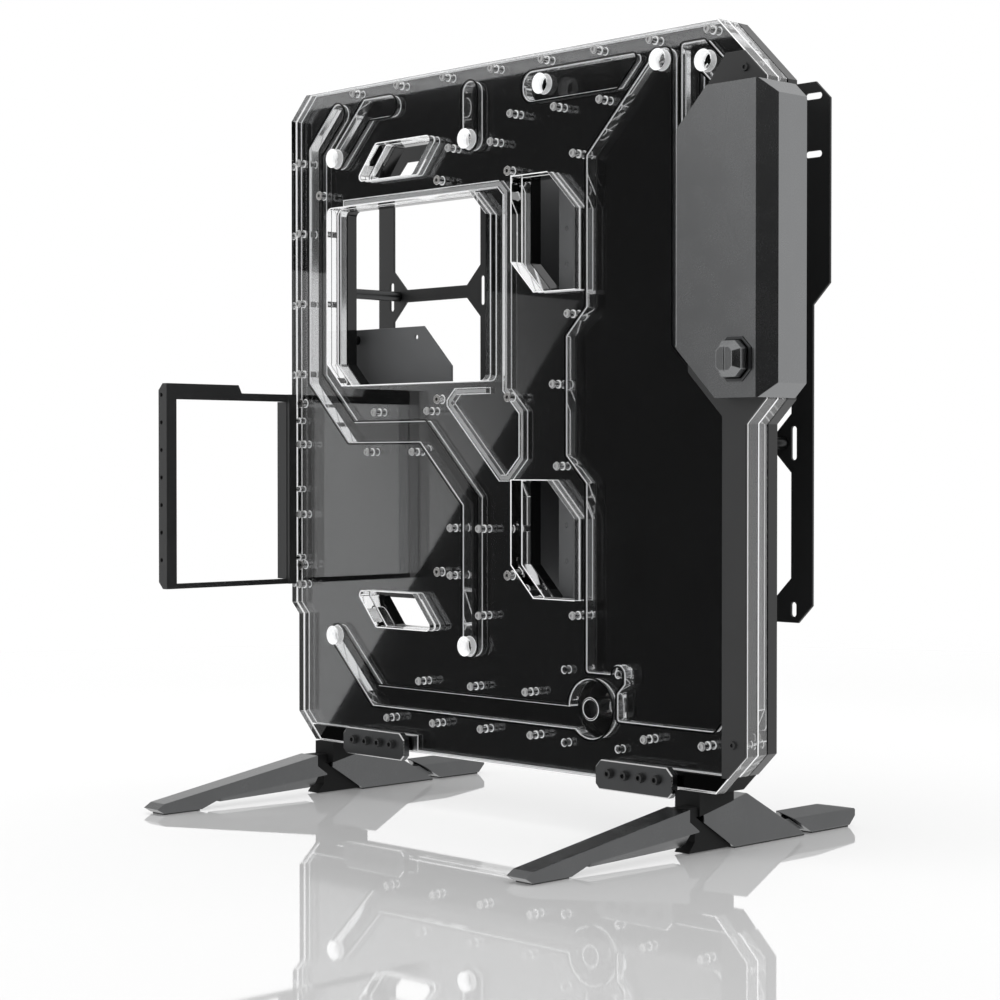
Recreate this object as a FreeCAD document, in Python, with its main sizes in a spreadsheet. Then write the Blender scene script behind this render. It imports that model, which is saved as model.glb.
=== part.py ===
"""Open computer case built on a layered acrylic water plate.

The plate stands upright on two feet and carries the main board on its front
face, a card frame and a front panel at its sides, and two radiator brackets,
a power supply cover, a drive plate and a pump behind it.

Board datum: x runs along the plate from the rear column of board holes,
y runs into the depth from the plate's front face, and z runs up from the top
row of board holes. Every piece is moved by HOME from there to the case's own
frame, whose origin lies on the floor under the middle of the case.
"""
import FreeCAD
import Part
import math
import os
from types import SimpleNamespace

Vector = FreeCAD.Vector

SIZES = {
    # Water plate: outline and layers
    "left_margin": 11.0,
    "top_margin": 78.5,
    "plate_width": 469.6,
    "plate_height": 493.5,
    "corner_top_left": 18.4,
    "corner_top_right": 40.5,
    "corner_bottom_right": 26.0,
    "corner_bottom_left": 20.4,
    "left_step": 8.5,
    "left_step_lift": 104.0,
    "left_step_keep": 15.0,
    "right_step": 15.3,
    "right_step_drop": 242.0,
    "front_thickness": 10.0,
    "channel_thickness": 9.0,
    "back_thickness": 10.0,
    "seal_thickness": 0.8,
    "cement_gap": 0.2,
    # Board holes of the ATX standard, with threaded inserts
    "board_column_middle": 154.94,
    "board_column_far": 227.33,
    "board_row_middle": 157.48,
    "board_row_low": 281.94,
    "board_corner_shift": 22.86,
    "insert_radius": 2.5,
    "insert_bore": 1.25,
    "insert_length": 8.0,
    "insert_flange": 3.2,
    "insert_flange_height": 0.5,
    # Openings that go through all layers
    "window_left": 32.0,
    "window_drop": 11.0,
    "window_width": 173.0,
    "window_height": 134.0,
    "window_cut": 17.0,
    "window_round": 5.0,
    "slot_left": 66.0,
    "slot_length": 62.0,
    "slot_height": 26.0,
    "slot_lean": 22.0,
    "slot_round": 3.0,
    "slot_upper_rise": 7.0,
    "slot_lower_lift": 90.0,
    "tall_left": 231.0,
    "tall_width": 61.0,
    "tall_height": 81.0,
    "tall_cut_low": 22.0,
    "tall_cut_high": 26.0,
    "tall_upper_drop": 4.5,
    "tall_lower_drop": 215.5,
    "tall_lower_lift": 118.5,
    # Threaded ports and the water channels between them
    "port_radius": 6.58,
    "port_left": 38.0,
    "port_right": 183.5,
    "port_row_rise": 27.0,
    "port_row_lift": 81.0,
    "channel_width": 14.5,
    "bend_round": 2.0,
    "top_run_rise": 60.5,
    "top_run_end": 97.2,
    "left_run": 12.0,
    "middle_run_drop": 180.5,
    "middle_run_start": 53.6,
    "middle_run_end": 133.6,
    "low_run_lift": 38.0,
    "side_run": 390.0,
    "side_run_length": 60.0,
    "side_arm": 9.0,
    "side_arm_drop": 13.0,
    # Filling chamber at the top and the tall tank
    "fill_left": 237.0,
    "fill_length": 105.0,
    "fill_rise": 47.0,
    "fill_height": 20.0,
    "fill_cut": 16.0,
    "fill_port_inset": 21.6,
    "tank_left": 298.0,
    "tank_width": 75.6,
    "tank_rise": 67.0,
    "tank_round": 6.0,
    "tank_slope_foot": 4.0,
    "tank_lip": 60.0,
    "tank_notch": 19.0,
    "tank_notch_drop": 98.0,
    "tank_notch_height": 119.0,
    "tank_flare": 50.4,
    "tank_flare_drop": 127.0,
    "tank_base_lift": 39.0,
    "tank_base_cut": 14.0,
    "tank_shelf_lift": 70.0,
    "tank_port_inset": 7.1,
    "tank_port_rise": 59.5,
    # Flat cord seals round every wet cavity
    "seal_offset": 0.6,
    "seal_width": 1.2,
    # Groove with its light strip
    "groove_width": 3.5,
    "strip_width": 2.5,
    "strip_height": 8.0,
    "groove_left": 44.6,
    "groove_gap": 4.0,
    "groove_side_gap": 13.6,
    "groove_corner": 7.0,
    "loop_top_drop": 152.0,
    "loop_low_drop": 214.0,
    "loop_left": 161.0,
    "loop_right": 234.6,
    "loop_tail": 38.0,
    # Screws that hold the layers together
    "sheet_screw_radius": 2.0,
    "sheet_screw_head": 2.75,
    "sheet_screw_head_height": 1.2,
    "screw_clearance": 0.3,
    "hole_overrun": 1.0,
    "edge_distance": 5.2,
    "wall_distance": 7.5,
    "screw_top_first": 62.0,
    "screw_top_after": 36.0,
    "screw_fill_before": 7.0,
    "screw_fill_after": 78.0,
    "screw_port_before": 2.0,
    "screw_port_after": 12.0,
    "screw_port_rise": 22.0,
    "screw_low_first": 100.0,
    "screw_low_last": 250.0,
    "screw_run_first": 135.0,
    "screw_run_last": 245.0,
    "screw_notch_rise": 8.0,
    "screw_notch_drop": 48.0,
    "screw_notch_shift": 4.0,
    "screw_tall_drop": 3.0,
    "screw_tank_before": 5.0,
    "screw_tank_drop": 102.0,
    "screw_tank_rise": 6.0,
    "screw_base_before": 18.0,
    "screw_base_after": 32.0,
    "screw_base_drop": 2.0,
    "screw_upper_first": 86.0,
    "screw_upper_last": 144.0,
    "screw_lower_first": 78.0,
    "screw_lower_last": 128.0,
    "screw_left_shift": 1.0,
    "screw_insert_keep": 12.0,
    "left_column_end": 37.0,
    "run_screw_drop": 69.5,
    "left_side_end": 50.0,
    # Pump behind the plate
    "pump_x": 301.6,
    "pump_lift": 45.0,
    "chamber_radius": 20.0,
    "chamber_wall": 5.0,
    "pump_bolt_pitch": 50.0,
    "pump_boss_radius": 6.5,
    "pump_flange": 62.0,
    "pump_flange_thickness": 6.0,
    "pump_body_radius": 26.0,
    "pump_body_depth": 32.0,
    "pump_pot_depth": 19.0,
    "pump_gasket_thickness": 1.0,
    "pump_screw_radius": 2.0,
    "pump_screw_head": 3.5,
    "pump_screw_head_height": 3.0,
    "pump_screw_reach": 17.0,
    "impeller_radius": 14.5,
    "impeller_thickness": 4.0,
    "impeller_hub": 5.5,
    "vane_height": 4.0,
    "vane_width": 2.0,
    "vane_count": 6.0,
    "shaft_radius": 2.0,
    "shaft_clearance": 0.05,
    "impeller_lift": 3.0,
    "cap_radius": 3.2,
    "cap_height": 1.0,
    "cap_gap": 0.4,
    "inlet_radius": 8.0,
    "inlet_wall": 1.7,
    "inlet_gap": 2.0,
    # Front panel: trim plate, cover and power button
    "trim_thickness": 2.0,
    "trim_left": 395.0,
    "trim_top_drop": 23.0,
    "trim_ear": 15.0,
    "trim_ear_slope": 38.0,
    "trim_strip": 19.5,
    "trim_waist_rise": 5.0,
    "trim_screw_inset": 16.0,
    "trim_screw_drop": 11.0,
    "trim_screw_radius": 1.5,
    "trim_screw_head": 2.75,
    "trim_screw_head_height": 1.5,
    "trim_screw_length": 10.0,
    "cover_height": 11.0,
    "cover_wall": 2.5,
    "cover_lap": 1.0,
    "cover_top_drop": 43.7,
    "cover_length": 197.4,
    "cover_upper_cut": 25.0,
    "cover_lower_cut": 32.0,
    "cover_overhang": 11.4,
    "cover_edge_gap": 0.6,
    "cover_bevel": 10.0,
    "cover_wrap": 25.0,
    "button_width": 21.0,
    "button_height": 23.0,
    "button_cut": 5.0,
    "button_rise": 11.0,
    "button_edge": 4.0,
    "button_clearance": 0.4,
    "button_inset": 15.0,
    "button_up": 24.0,
    "button_travel": 2.5,
    "button_lip": 1.5,
    "lip_gap": 0.2,
    "button_line": 0.8,
    "bezel_width": 2.2,
    "bezel_height": 1.2,
    "switch_side": 12.0,
    "switch_height": 3.6,
    "plunger_radius": 1.8,
    # Card frame at the rear edge
    "card_sheet": 3.0,
    "card_reach": 120.0,
    "card_top_drop": 150.7,
    "card_height": 145.7,
    "card_tab_rise": 6.1,
    "card_tab_length": 69.5,
    "card_tab_lean": 3.0,
    "card_bar": 7.5,
    "card_bar_outer": 9.0,
    "card_bar_top": 5.6,
    "card_bar_low": 3.8,
    "card_flange": 7.0,
    "card_lip": 8.0,
    "card_corner": 5.0,
    "card_foot_width": 6.0,
    "card_foot_depth": 7.0,
    "card_slot_pitch": 20.32,
    "card_slot_count": 7.0,
    "card_hole_radius": 1.6,
    "card_first_hole": 2.46,
    "card_screw_radius": 1.5,
    "card_screw_head": 2.75,
    "card_screw_head_height": 2.0,
    "card_screw_bite": 5.0,
    # Radiator brackets behind the plate
    "bracket_y": 105.0,
    "bracket_sheet": 2.0,
    "fan_pitch": 120.0,
    "fan_hole_pitch": 105.0,
    "fan_count": 3.0,
    "fan_first_drop": 10.0,
    "bracket_end": 1.5,
    "bracket_side": 15.9,
    "bracket_bar": 10.0,
    "bracket_strip": 18.3,
    "bracket_end_bar": 13.5,
    "bracket_gusset": 15.0,
    "bracket_corner": 12.0,
    "fan_slot_radius": 2.2,
    "fan_slot_length": 23.0,
    "fan_end_slot_length": 10.0,
    "bracket_left_x": 41.1,
    "bracket_right_x": 345.2,
    "ear_width": 14.0,
    "ear_length": 135.0,
    "ear_chamfer": 14.0,
    "ear_slot_length": 14.0,
    "ear_slot_inset": 9.6,
    "ear_slot_pitch": 38.8,
    "post_radius": 4.0,
    "post_screw_radius": 2.0,
    "post_screw_head": 3.5,
    "post_screw_head_height": 2.5,
    "post_screw_length": 12.0,
    "post_stud_length": 8.0,
    "post_column_inset": 8.4,
    "post_row_rise": 45.0,
    # Power supply cover and drive plate behind the plate
    "cover_sheet": 1.5,
    "psu_left": 206.0,
    "psu_width": 44.0,
    "psu_depth": 86.0,
    "psu_flange": 12.0,
    "psu_top_rise": 4.0,
    "psu_height": 304.0,
    "psu_hole_drop": 40.0,
    "psu_screw_pitch": 25.0,
    "psu_screw_inset": 28.0,
    "psu_screw_drop": 160.0,
    "psu_screw_radius": 1.5,
    "psu_screw_head": 2.75,
    "psu_screw_head_height": 2.0,
    "psu_screw_bite": 7.0,
    "blind_depth": 8.5,
    "drive_sheet": 2.0,
    "drive_y": 45.0,
    "drive_left": 7.0,
    "drive_width": 115.0,
    "drive_top_drop": 100.0,
    "drive_height": 76.0,
    "drive_cut": 31.0,
    "drive_hole_radius": 1.8,
    "drive_hole_inset": 8.0,
    "drive_post_radius": 3.5,
    # Feet
    "floor_gap": 39.0,
    "foot_left_x": 30.0,
    "foot_right_x": 400.0,
    "hub_end_gap": 1.5,
    "hub_left_after": 92.0,
    "hub_right_before": 84.5,
    "hub_rise": 10.5,
    "hub_gap": 0.5,
    "stem_outer": 7.5,
    "stem_inner": 13.5,
    "stem_neck": 4.0,
    "core_width": 12.0,
    "core_step": 8.0,
    "core_toe": 6.0,
    "stem_front": 16.0,
    "leg_top": 30.0,
    "leg_width": 20.0,
    "leg_tip_width": 16.5,
    "leg_reach": 156.0,
    "leg_nose": 6.0,
    "leg_nose_height": 4.5,
    "leg_tip_height": 8.0,
    "leg_pad_length": 33.0,
    "leg_arch_length": 17.0,
    "leg_arch_height": 7.0,
    "keel_bite": 1.0,
    "keel_rear_width": 9.0,
    "keel_front_width": 14.0,
    "keel_front_drop": 2.5,
    "keel_rear_drop": 8.0,
    "joint_low": 15.6,
    "joint_high": 22.0,
    "joint_step": 9.0,
    "joint_flat": 1.0,
    "heel_width": 19.0,
    "heel_top_width": 13.0,
    "heel_start": 29.0,
    "heel_length": 74.4,
    "heel_front_height": 23.7,
    "heel_front_lean": 35.0,
    "heel_height": 34.3,
    "heel_rear_lean": 58.4,
    "toe_gap": 4.2,
    "toe_end": 160.0,
    "toe_width": 16.0,
    "toe_height": 12.0,
    "toe_ridge": 18.0,
    "toe_end_cut": 6.0,
    "toe_ridge_back": 34.0,
    "toe_tongue": 7.0,
    "tongue_lift": 2.0,
    "tongue_bite": 1.0,
    "pad_thickness": 1.0,
    "clamp_thickness": 6.0,
    "clamp_length": 68.5,
    "clamp_height": 20.0,
    "clamp_lap": 3.5,
    "clamp_cut": 5.0,
    "clamp_low_cut": 3.5,
    "clamp_screw_pitch": 14.0,
    "clamp_screw_count": 4.0,
    "clamp_screw_radius": 2.0,
    "clamp_screw_head": 3.4,
    "clamp_screw_head_height": 3.0,
    "clamp_screw_length": 25.0,
    "clamp_left_x": 91.3,
    "clamp_right_x": 351.5,
}

doc = FreeCAD.newDocument("water_plate_case")
sheet = doc.addObject("Spreadsheet::Sheet", "sizes")
for line, (name, value) in enumerate(SIZES.items(), start=1):
    sheet.set("A%d" % line, name)
    sheet.set("B%d" % line, str(value))
    sheet.setAlias("B%d" % line, name)
doc.recompute()
S = SimpleNamespace(**{name: float(sheet.get(name)) for name in SIZES})

# Levels and edges that several pieces share
PLATE_LEFT = -S.left_margin
PLATE_RIGHT = PLATE_LEFT + S.plate_width
PLATE_TOP = S.top_margin
PLATE_BOTTOM = PLATE_TOP - S.plate_height
LOWER_RIGHT = PLATE_RIGHT - S.right_step
FLOOR = PLATE_BOTTOM - S.floor_gap
CHANNEL_FRONT = S.front_thickness + S.seal_thickness
BACK_FRONT = CHANNEL_FRONT + S.channel_thickness + S.cement_gap
PLATE_BACK = BACK_FRONT + S.back_thickness
COVER_RIGHT = PLATE_RIGHT + S.cover_overhang
COVER_FACE = -S.trim_thickness - S.cover_height
PUMP_Z = PLATE_BOTTOM + S.pump_lift
PORT_LOW = PLATE_BOTTOM + S.port_row_lift
LOW_RUN_Z = PLATE_BOTTOM + S.low_run_lift
TANK_BASE = PLATE_BOTTOM + S.tank_base_lift
TALL_LOW = PLATE_BOTTOM + S.tall_lower_lift
BRACKET_HALF = S.fan_hole_pitch / 2 + S.bracket_side
BRACKET_TOP = -S.fan_first_drop + S.fan_pitch / 2 + S.bracket_end
BRACKET_BOTTOM = BRACKET_TOP - S.fan_count * S.fan_pitch - 2 * S.bracket_end
NOSE = -S.leg_reach - S.leg_nose
HUB_TOP = PLATE_BOTTOM + S.hub_rise

CASE_LEFT = S.bracket_left_x - BRACKET_HALF
HOME = Vector(-(CASE_LEFT + COVER_RIGHT) / 2, -(NOSE + S.toe_end) / 2, -FLOOR)

nodes = []


def keep(label, piece):
    """Name a finished piece, so that it is checked and written."""
    piece.Label = label
    nodes.append(piece)
    return piece


def flat(point):
    return Vector(point[0], point[1], 0)


def rounded(points):
    """Closed outline of lines; a third number at a point rounds that corner."""
    count = len(points)
    ends = []
    arcs = []
    for index in range(count):
        corner = flat(points[index])
        radius = points[index][2] if len(points[index]) > 2 else 0
        if radius <= 0:
            ends.append((corner, corner))
            arcs.append(None)
            continue
        before = (flat(points[index - 1]) - corner).normalize()
        after = (flat(points[(index + 1) % count]) - corner).normalize()
        half = before.getAngle(after) / 2
        middle = corner + (before + after).normalize() * (radius / math.sin(half))
        first = corner + before * (radius / math.tan(half))
        last = corner + after * (radius / math.tan(half))
        top = middle + (corner - middle).normalize() * radius
        ends.append((first, last))
        arcs.append(Part.Arc(first, top, last))
    loop = []
    for index in range(count):
        if arcs[index]:
            loop.append(arcs[index])
        start = ends[index][1]
        stop = ends[(index + 1) % count][0]
        if (stop - start).Length > 1e-6:
            loop.append(Part.LineSegment(start, stop))
    return loop


def circle(x, z, radius):
    return [Part.Circle(Vector(x, z, 0), Vector(0, 0, 1), radius)]


def track(path, width, end_round=0.0, bend_round=0.0):
    """Outline of a run of constant width along a bent centre line."""
    points = [flat(p) for p in path]
    steps = [(b - a).normalize() for a, b in zip(points, points[1:])]
    points[0] = points[0] - steps[0] * end_round
    points[-1] = points[-1] + steps[-1] * end_round
    sides = {1: [], -1: []}
    for index, point in enumerate(points):
        before = steps[max(index - 1, 0)]
        after = steps[min(index, len(steps) - 1)]
        normal = Vector(-before.y - after.y, before.x + after.x, 0).normalize()
        reach = width / 2 / normal.dot(Vector(-after.y, after.x, 0))
        is_end = index in (0, len(points) - 1)
        for side in sides:
            corner = point + normal * (reach * side)
            sides[side].append((corner.x, corner.y, end_round if is_end else bend_round))
    return rounded(sides[1] + sides[-1][::-1])


def slot(x, z, length, radius, upright):
    """Round-ended slot with its middle at a point."""
    half = length / 2 - radius
    step = (0, half) if upright else (half, 0)
    ends = [(x - step[0], z - step[1]), (x + step[0], z + step[1])]
    return track(ends, 2 * radius, radius)


def wire_of(loop):
    return Part.Wire([curve.toShape() for curve in loop])


def new_body(label, depth=0.0):
    body = doc.addObject("PartDesign::Body", label)
    body.Placement.Base = HOME + Vector(0, depth, 0)
    return keep(label, body)


def sketch_on(body, role, loops, offset=0.0):
    """Sketch of closed loops on one of the body's own planes."""
    sketch = body.newObject("Sketcher::SketchObject", body.Label + "_sketch")
    support = [plane for plane in body.Origin.OriginFeatures if plane.Role == role]
    sketch.AttachmentSupport = [(support[0], "")]
    sketch.MapMode = "FlatFace"
    sketch.AttachmentOffset.Base = Vector(0, 0, offset)
    for loop in loops:
        for curve in loop:
            sketch.addGeometry(curve, False)
    return sketch


def pad(body, role, loops, length, offset=0.0, backwards=False):
    """Pad whose length follows a cell or an expression of cells."""
    feature = body.newObject("PartDesign::Pad", body.Label + "_pad")
    feature.Profile = sketch_on(body, role, loops, offset)
    feature.setExpression("Length", length)
    feature.Reversed = backwards
    return feature


def pocket(body, role, loops, length, offset=0.0, backwards=False):
    feature = body.newObject("PartDesign::Pocket", body.Label + "_pocket")
    feature.Profile = sketch_on(body, role, loops, offset)
    feature.setExpression("Length", length)
    feature.Reversed = backwards
    return feature


def slab(label, loops, front, length):
    """Flat piece parallel to the plate, from a depth towards the back."""
    body = new_body(label, front)
    pad(body, "XZ_Plane", loops, length, backwards=True)
    return body


def group(label, solids):
    """Several like solids in one node."""
    feature = doc.addObject("Part::Feature", label)
    feature.Shape = Part.makeCompound(solids)
    feature.Placement.Base = HOME
    return keep(label, feature)


def screw(x, y, z, reach, radius, head_radius, head_height, way=1):
    """Screw along y with its head's underside at a depth, reaching way * y."""
    along = Vector(0, way, 0)
    start = Vector(x, y, z)
    head = Part.makeCylinder(head_radius, head_height, start - along * head_height, along)
    return head.fuse(Part.makeCylinder(radius, reach, start, along))


# Water plate: three sheets with the channels cut right through the middle one
def plate_outline(notched):
    """Outer edge of a layer with its corner cuts and side steps, and the feet's notches."""
    notch_left = S.foot_left_x + S.hub_left_after
    notch_right = S.foot_right_x - S.hub_right_before
    gap = S.hub_gap
    # The left step stays below the lowest board insert
    step_left = min(PLATE_BOTTOM + S.left_step_lift, -S.board_row_low - S.left_step_keep)
    step_right = PLATE_TOP - S.right_step_drop
    lower_left = PLATE_LEFT + S.left_step
    top = HUB_TOP + gap
    points = [
        (PLATE_LEFT, PLATE_TOP - S.corner_top_left),
        (PLATE_LEFT + S.corner_top_left, PLATE_TOP),
        (PLATE_RIGHT - S.corner_top_right, PLATE_TOP),
        (PLATE_RIGHT, PLATE_TOP - S.corner_top_right),
        (PLATE_RIGHT, step_right),
        (LOWER_RIGHT, step_right - S.right_step),
        (LOWER_RIGHT, PLATE_BOTTOM + S.corner_bottom_right),
    ]
    corner_right = LOWER_RIGHT - S.corner_bottom_right
    corner_left = lower_left + S.corner_bottom_left
    # Both notches end in the corner cuts; the front layer runs past them
    if notched:
        points += [
            (corner_right + (top - PLATE_BOTTOM), top),
            (notch_right - gap, top),
            (notch_right - gap, PLATE_BOTTOM),
            (notch_left + gap, PLATE_BOTTOM),
            (notch_left + gap, top),
            (corner_left - (top - PLATE_BOTTOM), top),
        ]
    else:
        points += [(corner_right, PLATE_BOTTOM), (corner_left, PLATE_BOTTOM)]
    points += [
        (lower_left, PLATE_BOTTOM + S.corner_bottom_left),
        (lower_left, step_left - S.left_step),
        (PLATE_LEFT, step_left),
    ]
    return rounded(points)


def window_loop():
    left = S.window_left
    right = left + S.window_width
    top = -S.window_drop
    bottom = top - S.window_height
    cut = S.window_cut
    return rounded([
        (left, top, S.window_round),
        (right - cut, top),
        (right, top - cut),
        (right, bottom, S.window_round),
        (left + cut, bottom),
        (left, bottom + cut),
    ])


def leaning_slot(foot, lean_up):
    """Cable slot with both ends leaning; the lower one is the upper one mirrored."""
    head = foot + S.slot_height
    low_left = S.slot_left + (0 if lean_up else S.slot_lean)
    high_left = S.slot_left + (S.slot_lean if lean_up else 0)
    return rounded([
        (low_left, foot, S.slot_round),
        (low_left + S.slot_length, foot, S.slot_round),
        (high_left + S.slot_length, head, S.slot_round),
        (high_left, head, S.slot_round),
    ])


def tall_opening(top, bottom):
    left = S.tall_left
    right = left + S.tall_width
    high = S.tall_cut_high
    low = S.tall_cut_low
    return rounded([
        (left, top),
        (right - high, top),
        (right, top - high),
        (right, bottom),
        (left + low, bottom),
        (left, bottom + low),
    ])


def openings():
    upper_foot = S.slot_upper_rise
    lower_foot = PLATE_BOTTOM + S.slot_lower_lift
    return [
        window_loop(),
        leaning_slot(upper_foot, True),
        leaning_slot(lower_foot, False),
        tall_opening(-S.tall_upper_drop, -S.tall_upper_drop - S.tall_height),
        tall_opening(-S.tall_lower_drop, TALL_LOW),
    ]


def channel_loops():
    """Closed outline of every water channel, the filling chamber and the tank."""
    half = S.channel_width / 2

    def channel(path):
        return track(path, S.channel_width, half, S.bend_round)

    rise = S.port_row_rise
    top = S.top_run_rise
    low = LOW_RUN_Z
    middle = -S.middle_run_drop
    drop = PORT_LOW
    first = channel([(S.port_left, rise), (S.port_left + top - rise, top), (S.top_run_end, top)])
    long_run = channel([
        (S.port_left, top),
        (S.left_run, top - (S.port_left - S.left_run)),
        (S.left_run, middle + (S.middle_run_start - S.left_run)),
        (S.middle_run_start, middle),
        (S.middle_run_end, middle),
        (S.port_right, middle - (S.port_right - S.middle_run_end)),
        (S.port_right, drop),
    ])
    short_run = channel([(S.port_right, rise), (S.port_right, top)])
    low_run = channel([(S.port_left, drop), (S.port_left + drop - low, low), (S.pump_x, low)])
    side = channel([
        (S.side_run, top - S.side_run_length),
        (S.side_run, top),
        (S.side_run + S.side_arm, top),
        (S.side_run + S.side_arm + S.side_arm_drop, top - S.side_arm_drop),
    ])
    return [first, long_run, short_run, low_run, side, fill_loop(), tank_loop()]


def fill_loop():
    right = S.fill_left + S.fill_length
    top = S.fill_rise + S.fill_height
    curve = S.fill_height / 2 - 1
    return rounded([
        (S.fill_left, S.fill_rise, curve),
        (right - S.fill_cut, S.fill_rise, S.bend_round),
        (right, S.fill_rise + S.fill_cut, S.bend_round),
        (right, top, S.bend_round),
        (S.fill_left, top, curve),
    ])


def tank_loop():
    """Tank with its zigzag left wall and the boss of one pump screw in its floor."""
    right = S.tank_left + S.tank_width
    far = right + S.tank_flare
    neck = S.tank_left - S.tank_notch
    notch_top = -S.tank_notch_drop
    notch_low = notch_top - S.tank_notch_height
    base = TANK_BASE
    shelf = PLATE_BOTTOM + S.tank_shelf_lift
    boss = S.pump_boss_radius
    boss_x = S.pump_x + S.pump_bolt_pitch / 2
    boss_top = PUMP_Z + S.pump_bolt_pitch / 2 + boss
    wall = S.pump_x + S.chamber_radius + S.chamber_wall
    jog = boss_x + boss - wall
    bend = S.bend_round
    return rounded([
        (S.tank_left + S.tank_lip, S.tank_rise, bend),
        (right, S.tank_rise, S.tank_round),
        (right, -S.tank_flare_drop, bend),
        (far, -S.tank_flare_drop - S.tank_flare, bend),
        (far, base + S.tank_base_cut, bend),
        (far - S.tank_base_cut, base, bend),
        (wall, base, bend),
        (wall, boss_top - 2 * boss - jog, bend),
        (boss_x + boss, boss_top - 2 * boss, bend),
        (boss_x + boss, boss_top, boss),
        (boss_x - boss, boss_top, boss),
        (boss_x - boss, shelf),
        (S.tank_left, shelf, bend),
        (S.tank_left, notch_low, bend),
        (neck, notch_low + S.tank_notch, bend),
        (neck, notch_top - S.tank_notch, bend),
        (S.tank_left, notch_top, bend),
        (S.tank_left, S.tank_slope_foot, bend),
        (S.tank_left + S.tank_lip, S.tank_slope_foot + S.tank_lip, bend),
    ])


def groove_path():
    """Centre line of the light strip's groove round the window and its loop."""
    top = -S.window_drop + S.groove_gap
    side = S.window_left + S.window_width + S.groove_side_gap
    corner = S.groove_corner
    loop_top = -S.loop_top_drop
    loop_low = -S.loop_low_drop
    reach = S.loop_right - side
    width = S.loop_right - S.loop_left
    turn = 2 * corner
    return [
        (S.groove_left, top),
        (side - corner, top),
        (side, top - corner),
        (side, loop_top),
        (S.loop_right, loop_top - reach),
        (S.loop_right, loop_low + turn),
        (S.loop_right - turn, loop_low),
        (S.loop_right - turn - corner, loop_low),
        (S.loop_left, loop_low + width - turn - corner),
        (S.loop_left, loop_top - corner),
        (S.loop_left + corner, loop_top),
        (S.loop_left + S.loop_tail, loop_top),
    ]


def port_places():
    """Threaded ports in the front sheet."""
    fill_middle = S.fill_rise + S.fill_height / 2
    arm = S.side_run + S.side_arm + S.side_arm_drop / 2
    return [
        (S.port_left, S.port_row_rise),
        (S.port_right, S.port_row_rise),
        (S.port_left, PORT_LOW),
        (S.port_right, PORT_LOW),
        (S.fill_left + S.fill_port_inset, fill_middle),
        (S.tank_left + S.tank_width - S.tank_port_inset, S.tank_port_rise),
        (arm, S.top_run_rise - S.side_arm_drop / 2),
    ]


def board_places():
    rows = (0, -S.board_row_middle, -S.board_row_low)
    places = [(S.board_corner_shift, 0), (0, rows[1]), (0, rows[2])]
    for column in (S.board_column_middle, S.board_column_far):
        places += [(column, row) for row in rows]
    return places


def row_between(first, last, count):
    step = [(b - a) / (count - 1) for a, b in zip(first, last)]
    return [(first[0] + step[0] * i, first[1] + step[1] * i) for i in range(count)]


def beside_inserts(z):
    """Height of a left screw, moved along its column where it would meet an insert."""
    for row in (-S.board_row_middle, -S.board_row_low):
        if abs(z - row) < S.screw_insert_keep:
            return row + math.copysign(S.screw_insert_keep, z - row)
    return z


def sheet_screw_places():
    """Rows of screws beside the channels and along the plate's edges."""
    edge = S.edge_distance
    wall = S.wall_distance
    half = S.channel_width / 2 + wall
    top = PLATE_TOP - edge
    fill_foot = S.fill_rise - wall
    low = LOW_RUN_Z
    middle = -S.middle_run_drop
    notch_middle = -S.tank_notch_drop - S.tank_notch_height / 2
    tank_side = S.tank_left - wall
    neck_side = tank_side - S.tank_notch
    base = TANK_BASE - wall - S.screw_base_drop
    left = S.left_run - S.channel_width / 2 - wall + S.screw_left_shift
    far = S.tank_left + S.tank_width
    right_side = S.port_right + half
    left_side = S.port_right - half
    places = row_between((S.screw_top_first, top), (far + S.screw_top_after, top), 8)
    fill_first = S.fill_left - S.screw_fill_before
    places += row_between((fill_first, fill_foot), (S.fill_left + S.screw_fill_after, fill_foot), 3)
    port_first = left_side - S.screw_port_before
    port_last = right_side + S.screw_port_after
    places += row_between((port_first, S.screw_port_rise), (port_last, S.screw_port_rise), 2)
    column = row_between((left, S.port_row_rise), (left, PORT_LOW + S.left_column_end), 7)
    places += [(x, beside_inserts(z)) for x, z in column]
    places += row_between((S.screw_low_first, low - half), (S.screw_low_last, low - half), 4)
    places += row_between((S.screw_run_first, low + half), (S.screw_run_last, low + half), 3)
    notch_foot = notch_middle - S.screw_notch_drop
    places.append((neck_side, notch_middle + S.screw_notch_rise))
    places.append((neck_side + S.screw_notch_shift, notch_foot))
    places.append((tank_side, TALL_LOW - wall - S.screw_tall_drop))
    places.append((tank_side - S.screw_tank_before, -S.screw_tank_drop))
    places.append((tank_side, S.screw_tank_rise))
    places += row_between((far - S.screw_base_before, base), (far + S.screw_base_after, base), 2)
    places += row_between((S.screw_upper_first, middle + half), (S.screw_upper_last, middle + half), 2)
    places += row_between((S.screw_lower_first, middle - half), (S.screw_lower_last, middle - half), 2)
    bend = middle - S.run_screw_drop
    places += row_between((right_side, bend), (right_side, PORT_LOW + wall * 3), 2)
    places += row_between((left_side, bend), (left_side, PORT_LOW + S.left_side_end), 2)
    return places


outline = plate_outline(True)
front_outline = plate_outline(False)
through = openings()
cavities = channel_loops()
screw_spots = sheet_screw_places()
pump_half = S.pump_bolt_pitch / 2
pump_spots = [(S.pump_x + i * pump_half, PUMP_Z + j * pump_half) for i in (-1, 1) for j in (-1, 1)]
clear_radius = S.sheet_screw_radius + S.screw_clearance
screw_holes = [circle(x, z, clear_radius) for x, z in screw_spots]
pump_holes = [circle(x, z, S.pump_screw_radius + S.screw_clearance) for x, z in pump_spots]


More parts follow.
